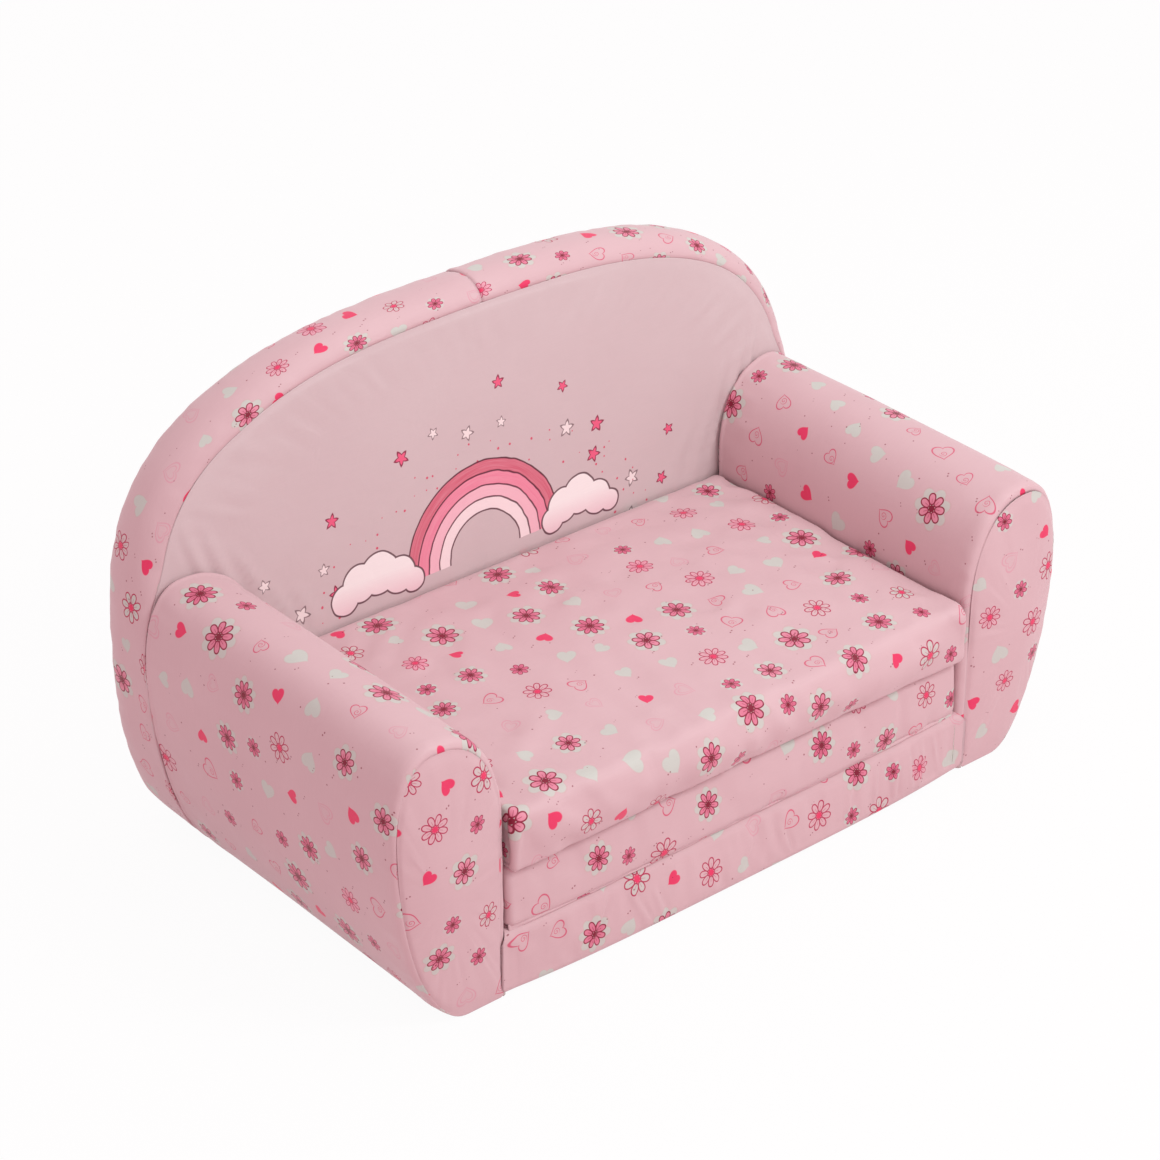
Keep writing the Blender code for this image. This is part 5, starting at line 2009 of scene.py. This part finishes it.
    def gusset(self, word: str, side: int) -> None:
        """One end of the cover, in rings from its middle to its seam."""
        places, _ = even_places(self.seam, 0.0, 8.0, self.step)
        shares = crowded(26, 0.7)
        loops = rings(self.seam(places[:-1]), self.inside[1:], shares)
        points = stacked(side * self.sizes.half_pad, loops[..., 0], loops[..., 1])
        flat = first_again(loops) + (self.shift + 0.9, 0.1 * side)
        end = Surface(points, flat, self.inside, wraps=True).moved(self.cushioned)
        away, along = edge_distance(shares, 0.03, loops.shape[1], self.step)
        height = seam_dip(away, 0.0014, 0.003) + puckers(away, along, self.seed + 9 + side, 0.0006)
        name = f"{self.word}_gusset_{word}"
        piece = end.pushed(np.minimum(height, 0.0004)).object(name + "_cloth")
        self.dress(piece, Slot.PRINT, self.body, [name], PAD_FILL)

    def foam_block(self) -> None:
        """The pad's foam, closed at both ends."""
        places, _ = even_places(self.full, 0.0, 8.0, 0.008)
        points = capped(self.stood(places[:-1], (crowded(44, 0.6) * 2 - 1) * self.sizes.half_pad))
        rear = points[..., 1] > self.sizes.pad_rear_y - 0.004
        block = Surface.block(points, self.inside).moved(self.cushioned).pushed(-FOAM_INSET - 0.0055 * rear)
        self.foam(block, self.word, self.body)


@dataclass
class HingeCloth(SubAssembly):
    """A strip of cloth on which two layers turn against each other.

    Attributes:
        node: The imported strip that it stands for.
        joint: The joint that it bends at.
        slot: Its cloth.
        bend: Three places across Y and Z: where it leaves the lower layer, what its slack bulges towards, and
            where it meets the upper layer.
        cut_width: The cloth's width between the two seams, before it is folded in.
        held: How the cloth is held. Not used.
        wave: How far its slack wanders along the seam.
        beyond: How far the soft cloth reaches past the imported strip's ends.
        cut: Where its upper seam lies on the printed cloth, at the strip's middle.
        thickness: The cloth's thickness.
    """

    node: str = "front_hinge_cloth"
    joint: str = "mattress_fold"
    slot: Slot = Slot.PRINT
    bend: tuple[Pair, ...] = ((-0.2040, 0.0606), (-0.2125, 0.0640), (-0.2030, 0.0672))
    cut_width: float = 0.0125
    held: str = "folded"
    wave: float = 0.0008
    beyond: float = 0.0255
    cut: Pair = (5.2, 0.0)
    thickness: float = 0.0007

    def build(self) -> None:
        """Makes the strip in one resting shape, where the two layers of its joint meet.

        Formula: across its width the strip is the quadratic curve through its two seams that bulges towards
        the middle place, and the bulge wanders along the seam and fades out at the strip's ends.
        """
        low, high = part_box(self.node)
        half = high.x + self.beyond
        x = np.linspace(-half, half, 260)[:, None]
        t = np.linspace(0.0, 1.0, 25)[None, :]
        ends = smooth_step(half - np.abs(x), 0.0, 0.025) * (1 - 0.5 * np.abs(x / half) ** 4)
        slack = smooth_noise(x / 0.016, x * 0, 151) + 0.8 * smooth_noise(x / 0.045, x * 0, 152)
        lift = smooth_noise(x / 0.024, x * 0, 153)
        first, middle, last = self.bend
        seam_y = (first[0] + last[0]) / 2
        bulge_y = seam_y + (middle[0] - seam_y) * ends + self.wave * slack
        bulge_z = middle[1] + self.wave * 0.8 * lift
        y = (1 - t) ** 2 * first[0] + 2 * t * (1 - t) * bulge_y + t**2 * last[0]
        z = (1 - t) ** 2 * first[1] + 2 * t * (1 - t) * bulge_z + t**2 * last[1]
        flat = stacked(x + self.cut[0], self.cut[1] + (1 - t) * self.cut_width)
        inside = np.array([0.0, 2 * seam_y - middle[0], middle[1]])
        strip = Surface(stacked(x, y, z), flat, inside)
        piece = self.dress(strip.object(self.node + "_strip", self.thickness), self.slot, None, [self.node])
        2 * half
        joint = next(j for j in frame["joints"] if j["name"] == self.joint)
        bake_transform(piece)


@dataclass
class Zip(SubAssembly):
    """A zip: a woven tape, its coil, and a slider without a tab.

    Attributes:
        word: The zip's name.
        body: The body that carries the tape.
        pull: The body of its slider.
        coil_half: Half the coil's width.
        tooth_pitch: Distance from one tooth to the next.
        tooth_rise: How far the teeth stand up.
        weave: How far the tape lies under the coil's own base.
        end_gap: How far the coil keeps from the tape's ends.
    """

    word: str = "body"
    body: Body = Body.SOFA
    pull: Body = Body.BODY_PULL
    coil_half: float = 0.0030
    tooth_pitch: float = 0.0016
    tooth_rise: float = 0.0013
    weave: float = 0.0002
    end_gap: float = 0.002

    def build(self) -> None:
        """Makes the tape with its coil, and the slider."""
        node = self.word + "_zip_tape"
        low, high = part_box(node)
        middle = (low.z + high.z) / 2
        tape_y = high.y - 0.0014
        tape, tape_faces = self.tape(low, high, middle, tape_y)
        coil, coil_faces = self.coil(low, high, middle, tape_y)
        points, corners = np.concatenate([tape, coil]), np.concatenate([tape_faces, coil_faces + len(tape)])
        self.dress(mesh_object(node + "_woven", points, corners), Slot.ZIP_TAPE, self.body, [node])
        self.slider(middle)

    def tape(self, low: Vector, high: Vector, middle: float, tape_y: float) -> tuple[Array, Array]:
        """The tape: a flat band with a welt beside the coil and a selvedge at each edge."""
        z = np.linspace(low.z, high.z, 41)
        x = np.linspace(low.x, high.x, 90)[:, None]
        away = np.abs(z - middle)
        rise = 0.0002 * np.exp(-(((away - 0.0045) / 0.0008) ** 2)) - 0.00025 * smooth_step(away, 0.0112, 0.0119)
        top, under = stacked(x, tape_y - self.weave + rise, z), stacked(x, low.y, z)
        return Surface(top, np.zeros((*top.shape[:2], 2)), np.array([0.0, low.y, middle])).layered(under)[:2]

    def coil(self, low: Vector, high: Vector, middle: float, tape_y: float) -> tuple[Array, Array]:
        """The coil: small arched bars that reach over the middle from each side by turns."""
        count = int((high.x - low.x - 2 * self.end_gap) / self.tooth_pitch)
        number = np.arange(count)[:, None, None]
        side = np.where(number % 2, 1, -1)
        turn = np.linspace(0.0, math.pi, 7)[:, None]
        wide, tall = np.array([(-1, 0), (-0.6, 0.8), (0.6, 0.8), (1, 0)]).T
        x = low.x + self.end_gap + (number + 0.5) * self.tooth_pitch + wide * (self.tooth_pitch * 0.40)
        y = tape_y - self.weave + np.sin(turn) ** 0.6 * (self.tooth_rise - self.weave) + (tall - 0.8) * 0.0005
        z = middle + side * 0.0006 - np.cos(turn) * 0.9 * (self.coil_half - 0.0007)
        steps, sides = np.indices((6, 4))
        bar = np.concatenate([quads(steps, sides, (sides + 1) % 4, 4), [[0, 1, 2, 3], [27, 26, 25, 24]]])
        return stacked(x, y, z).reshape(-1, 3), (bar + number * 28).reshape(-1, 4)

    def slider(self, middle: float) -> None:
        """The slider: a domed shield over the coil, wider at its open end, with a low bridge.

        Formula: the half width grows from the closed to the open end, the height is a flat dome, and the
        bridge is a smooth hump along the middle.
        """
        node = self.word + "_zip_slider"
        low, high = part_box(node)
        depth = high.y - low.y
        s = np.linspace(0.0, 1.0, 41)[:, None]
        width = (high.z - low.z) / 2 * (0.66 + 0.34 * smooth_step(s, 0.15, 0.75)) * (1 - np.abs(2 * s - 1) ** 9) ** 0.5
        angle = np.linspace(-1.0, 1.0, 33)
        side = np.sign(angle) * (1 - (1 - np.abs(angle)) ** 1.6)
        dome = (1 - np.abs(side) ** 6) * (1 - np.abs(2 * s - 1) ** 10)
        bridge = np.exp(-(((s - 0.5) / 0.22) ** 4)) * np.exp(-((side / 0.30) ** 4))
        y = high.y - 0.0007 - (1 - dome) * (depth * 0.45) + 0.0007 * bridge
        top = stacked(low.x + s * (high.x - low.x), y, middle + width * side)
        slot = smooth_step(np.abs(side), 0.60, 0.72)
        floor = np.minimum(y - 0.0004, high.y - 0.0016 - slot * (depth - 0.0018))
        inside = np.array([top[..., 0].mean(), low.y, middle])
        points, corners, _ = Surface(top, np.zeros((*top.shape[:2], 2)), inside).layered(
            stacked(top[..., 0], floor, top[..., 2])
        )
        self.dress(mesh_object(node + "_cast", points, corners), Slot.ZIP_METAL, self.pull, [node])


@dataclass
class Studio:
    """A pale floor, plain soft light, and the camera at the photograph's viewing angle.

    Attributes:
        azimuth: The camera's turn about the sofa, in degrees.
        elevation: Its height above the horizon, in degrees.
        roll: Its turn about its own line of sight, in degrees.
        focal: Its focal length in pixels of the image.
        image_size: The image's width in pixels.
        sensor: The camera's sensor width, in millimetres.
        place: Where it stands.
        ambient: Strength of the surroundings.
        fill_colour: Their colour.
        lamp_colour: The lamps' colour.
        lamps: The lamps' names, places, sizes and powers.
        floor_reach: How far the floor reaches to each side.
        floor_drop: How far it lies under the sofa.
    """

    azimuth: float = -40.111
    elevation: float = 29.967
    roll: float = 0.052
    focal: float = 3441.887
    image_size: float = 1160.0
    sensor: float = 36.0
    place: tuple[float, float, float] = (-1.77187, -2.08079, 1.79411)
    ambient: float = 0.83
    fill_colour: tuple[float, float, float] = (1.0, 0.84, 0.86)
    lamp_colour: tuple[float, float, float] = (0.84, 1.0, 0.97)
    lamps: tuple[tuple[str, tuple[float, float, float], float, float], ...] = (
        ("overhead_softbox", (0.4, -0.1, 2.2), 1.1, 7.0), ("front_softbox", (0.85, -1.9, 2.15), 0.9, 33.0),
    )
    floor_reach: float = 6.0
    floor_drop: float = 0.0006

    def camera(self) -> None:
        """Stands the camera up."""
        a, e, r = (math.radians(v) for v in (self.azimuth, self.elevation, self.roll))
        back = Vector((math.sin(a) * math.cos(e), -math.cos(a) * math.cos(e), math.sin(e)))
        right = Vector((math.cos(a), math.sin(a), 0.0))
        up = back.cross(right)
        level, upright = right * math.cos(r) + up * math.sin(r), up * math.cos(r) - right * math.sin(r)
        data = bpy.data.cameras.new("photo_camera")
        data.sensor_width = self.sensor
        data.lens = self.sensor * self.focal / self.image_size
        data.clip_start, data.clip_end = 0.1, 50.0
        camera = bpy.data.objects.new("photo_camera", data)
        camera.matrix_world = Matrix.Translation(self.place) @ Matrix((level, upright, back)).transposed().to_4x4()
        bpy.context.scene.collection.objects.link(camera)
        bpy.context.scene.camera = camera

    def light(self) -> None:
        """Hangs the lamps."""
        for name, place, size, power in self.lamps:
            data = bpy.data.lights.new(name, "AREA")
            data.size, data.energy, data.color = size, power, self.lamp_colour
            lamp = bpy.data.objects.new(name, data)
            lamp.location = place
            aim = Vector((0.0, 0.0, 0.15)) - Vector(place)
            lamp.rotation_euler = aim.to_track_quat("-Z", "Y").to_euler()
            bpy.context.scene.collection.objects.link(lamp)

    def surroundings(self) -> None:
        """Sets the surroundings: tinted where they light the sofa, and white where they are seen."""
        world = bpy.data.worlds.new("studio")
        bpy.context.scene.world = world
        world.use_nodes = True
        tree = world.node_tree
        sky = tree.nodes["Background"]
        white = tree.nodes.new("ShaderNodeBackground")
        seen, either, any_seen, chooser = (
            tree.nodes.new("ShaderNode" + kind) for kind in ("LightPath", "Math", "Math", "MixShader")
        )
        either.operation = any_seen.operation = "MAXIMUM"
        sky.inputs["Color"].default_value = (*self.fill_colour, 1.0)
        sky.inputs["Strength"].default_value = self.ambient
        white.inputs["Color"].default_value, white.inputs["Strength"].default_value = (1.0, 1.0, 1.0, 1.0), 1.0
        for outlet, inlet in (
            (seen.outputs["Is Camera Ray"], either.inputs[0]), (seen.outputs["Is Glossy Ray"], either.inputs[1]),
            (either.outputs[0], any_seen.inputs[0]), (seen.outputs["Is Transmission Ray"], any_seen.inputs[1]),
            (any_seen.outputs[0], chooser.inputs[0]), (sky.outputs[0], chooser.inputs[1]),
            (white.outputs[0], chooser.inputs[2]),
            (chooser.outputs[0], tree.nodes["World Output"].inputs["Surface"]),
        ):
            tree.links.new(outlet, inlet)

    def floor(self) -> None:
        """Lays the floor, which keeps the sofa's shadow and is otherwise as white as the surroundings."""
        kit = NodeKit("studio_floor")
        path = sum(kit.node("LightPath", {}, {}, f"Is {kind} Ray") for kind in ("Camera", "Glossy", "Transmission"))
        kit.feed(Base_Color=(0.86, 0.72, 0.74, 1.0), Roughness=0.9, Specular_IOR_Level=0.1)
        glow = kit.node("Emission", {}, {"Color": (1.0, 1.0, 1.0, 1.0), "Strength": 1.0})
        mixed = kit.node("MixShader", {}, {0: path * 0.95, 1: Field(kit, kit.shader.outputs[0]), 2: glow})
        kit.tree.links.new(mixed.socket, kit.output.inputs["Surface"])
        reach, low = self.floor_reach, -self.floor_drop
        points = np.array([(-reach, -reach, low), (reach, -reach, low), (reach, reach, low), (-reach, reach, low)])
        ground = mesh_object("studio_floor", points, np.array([[0, 1, 2, 3]]))
        ground.data.materials.append(kit.material)

    def build(self) -> None:
        """Sets the scene up."""
        bpy.context.scene.view_settings.view_transform = "Standard"
        self.camera()
        self.light()
        self.surroundings()
        self.floor()
        log.info("studio: camera, %d lamps and floor", len(self.lamps))


def main() -> None:
    """Builds the sofa and its studio."""
    logging.basicConfig(level=logging.INFO, format="%(name)s: %(message)s")
    Studio().build()
    finishes = Finishes()
    Back(finishes).build()
    for side in (1, -1):
        Arm(finishes, side=side).build()
    Base(finishes).build()
    middle = Pad(
        finishes, word="middle_pad", body=Body.MIDDLE, front=SIZES.front_y + 0.006, low=SIZES.middle_low,
        front_crown=0.004, crown=0.0, front_draw=0.0, lip=0.0075, seed=131, shift=6.1, front_radii=(0.010, 0.004),
        most_fold=0.0012,
    )
    top = Pad(
        finishes, word="top_pad", body=Body.TOP, front=SIZES.front_y - 0.005, low=SIZES.top_low,
        seed=101, shift=7.4,
    )
    middle.build()
    top.build()
    HingeCloth(finishes, cut=middle.cut_at(6.0)).build()
    HingeCloth(
        finishes, node="rear_hinge_cloth", joint="top_pad_fold", slot=Slot.LINING,
        bend=((0.1332, 0.1194), (0.1380, 0.1235), (0.1332, 0.1275)), cut_width=0.0101, held="stretched", wave=0.0002,
    ).build()
    Zip(finishes).build()
    Zip(finishes, word="middle_pad", body=Body.MIDDLE, pull=Body.MIDDLE_PULL).build()
    Zip(finishes, word="top_pad", body=Body.TOP, pull=Body.TOP_PULL).build()


if __name__ == "__main__":
    main()
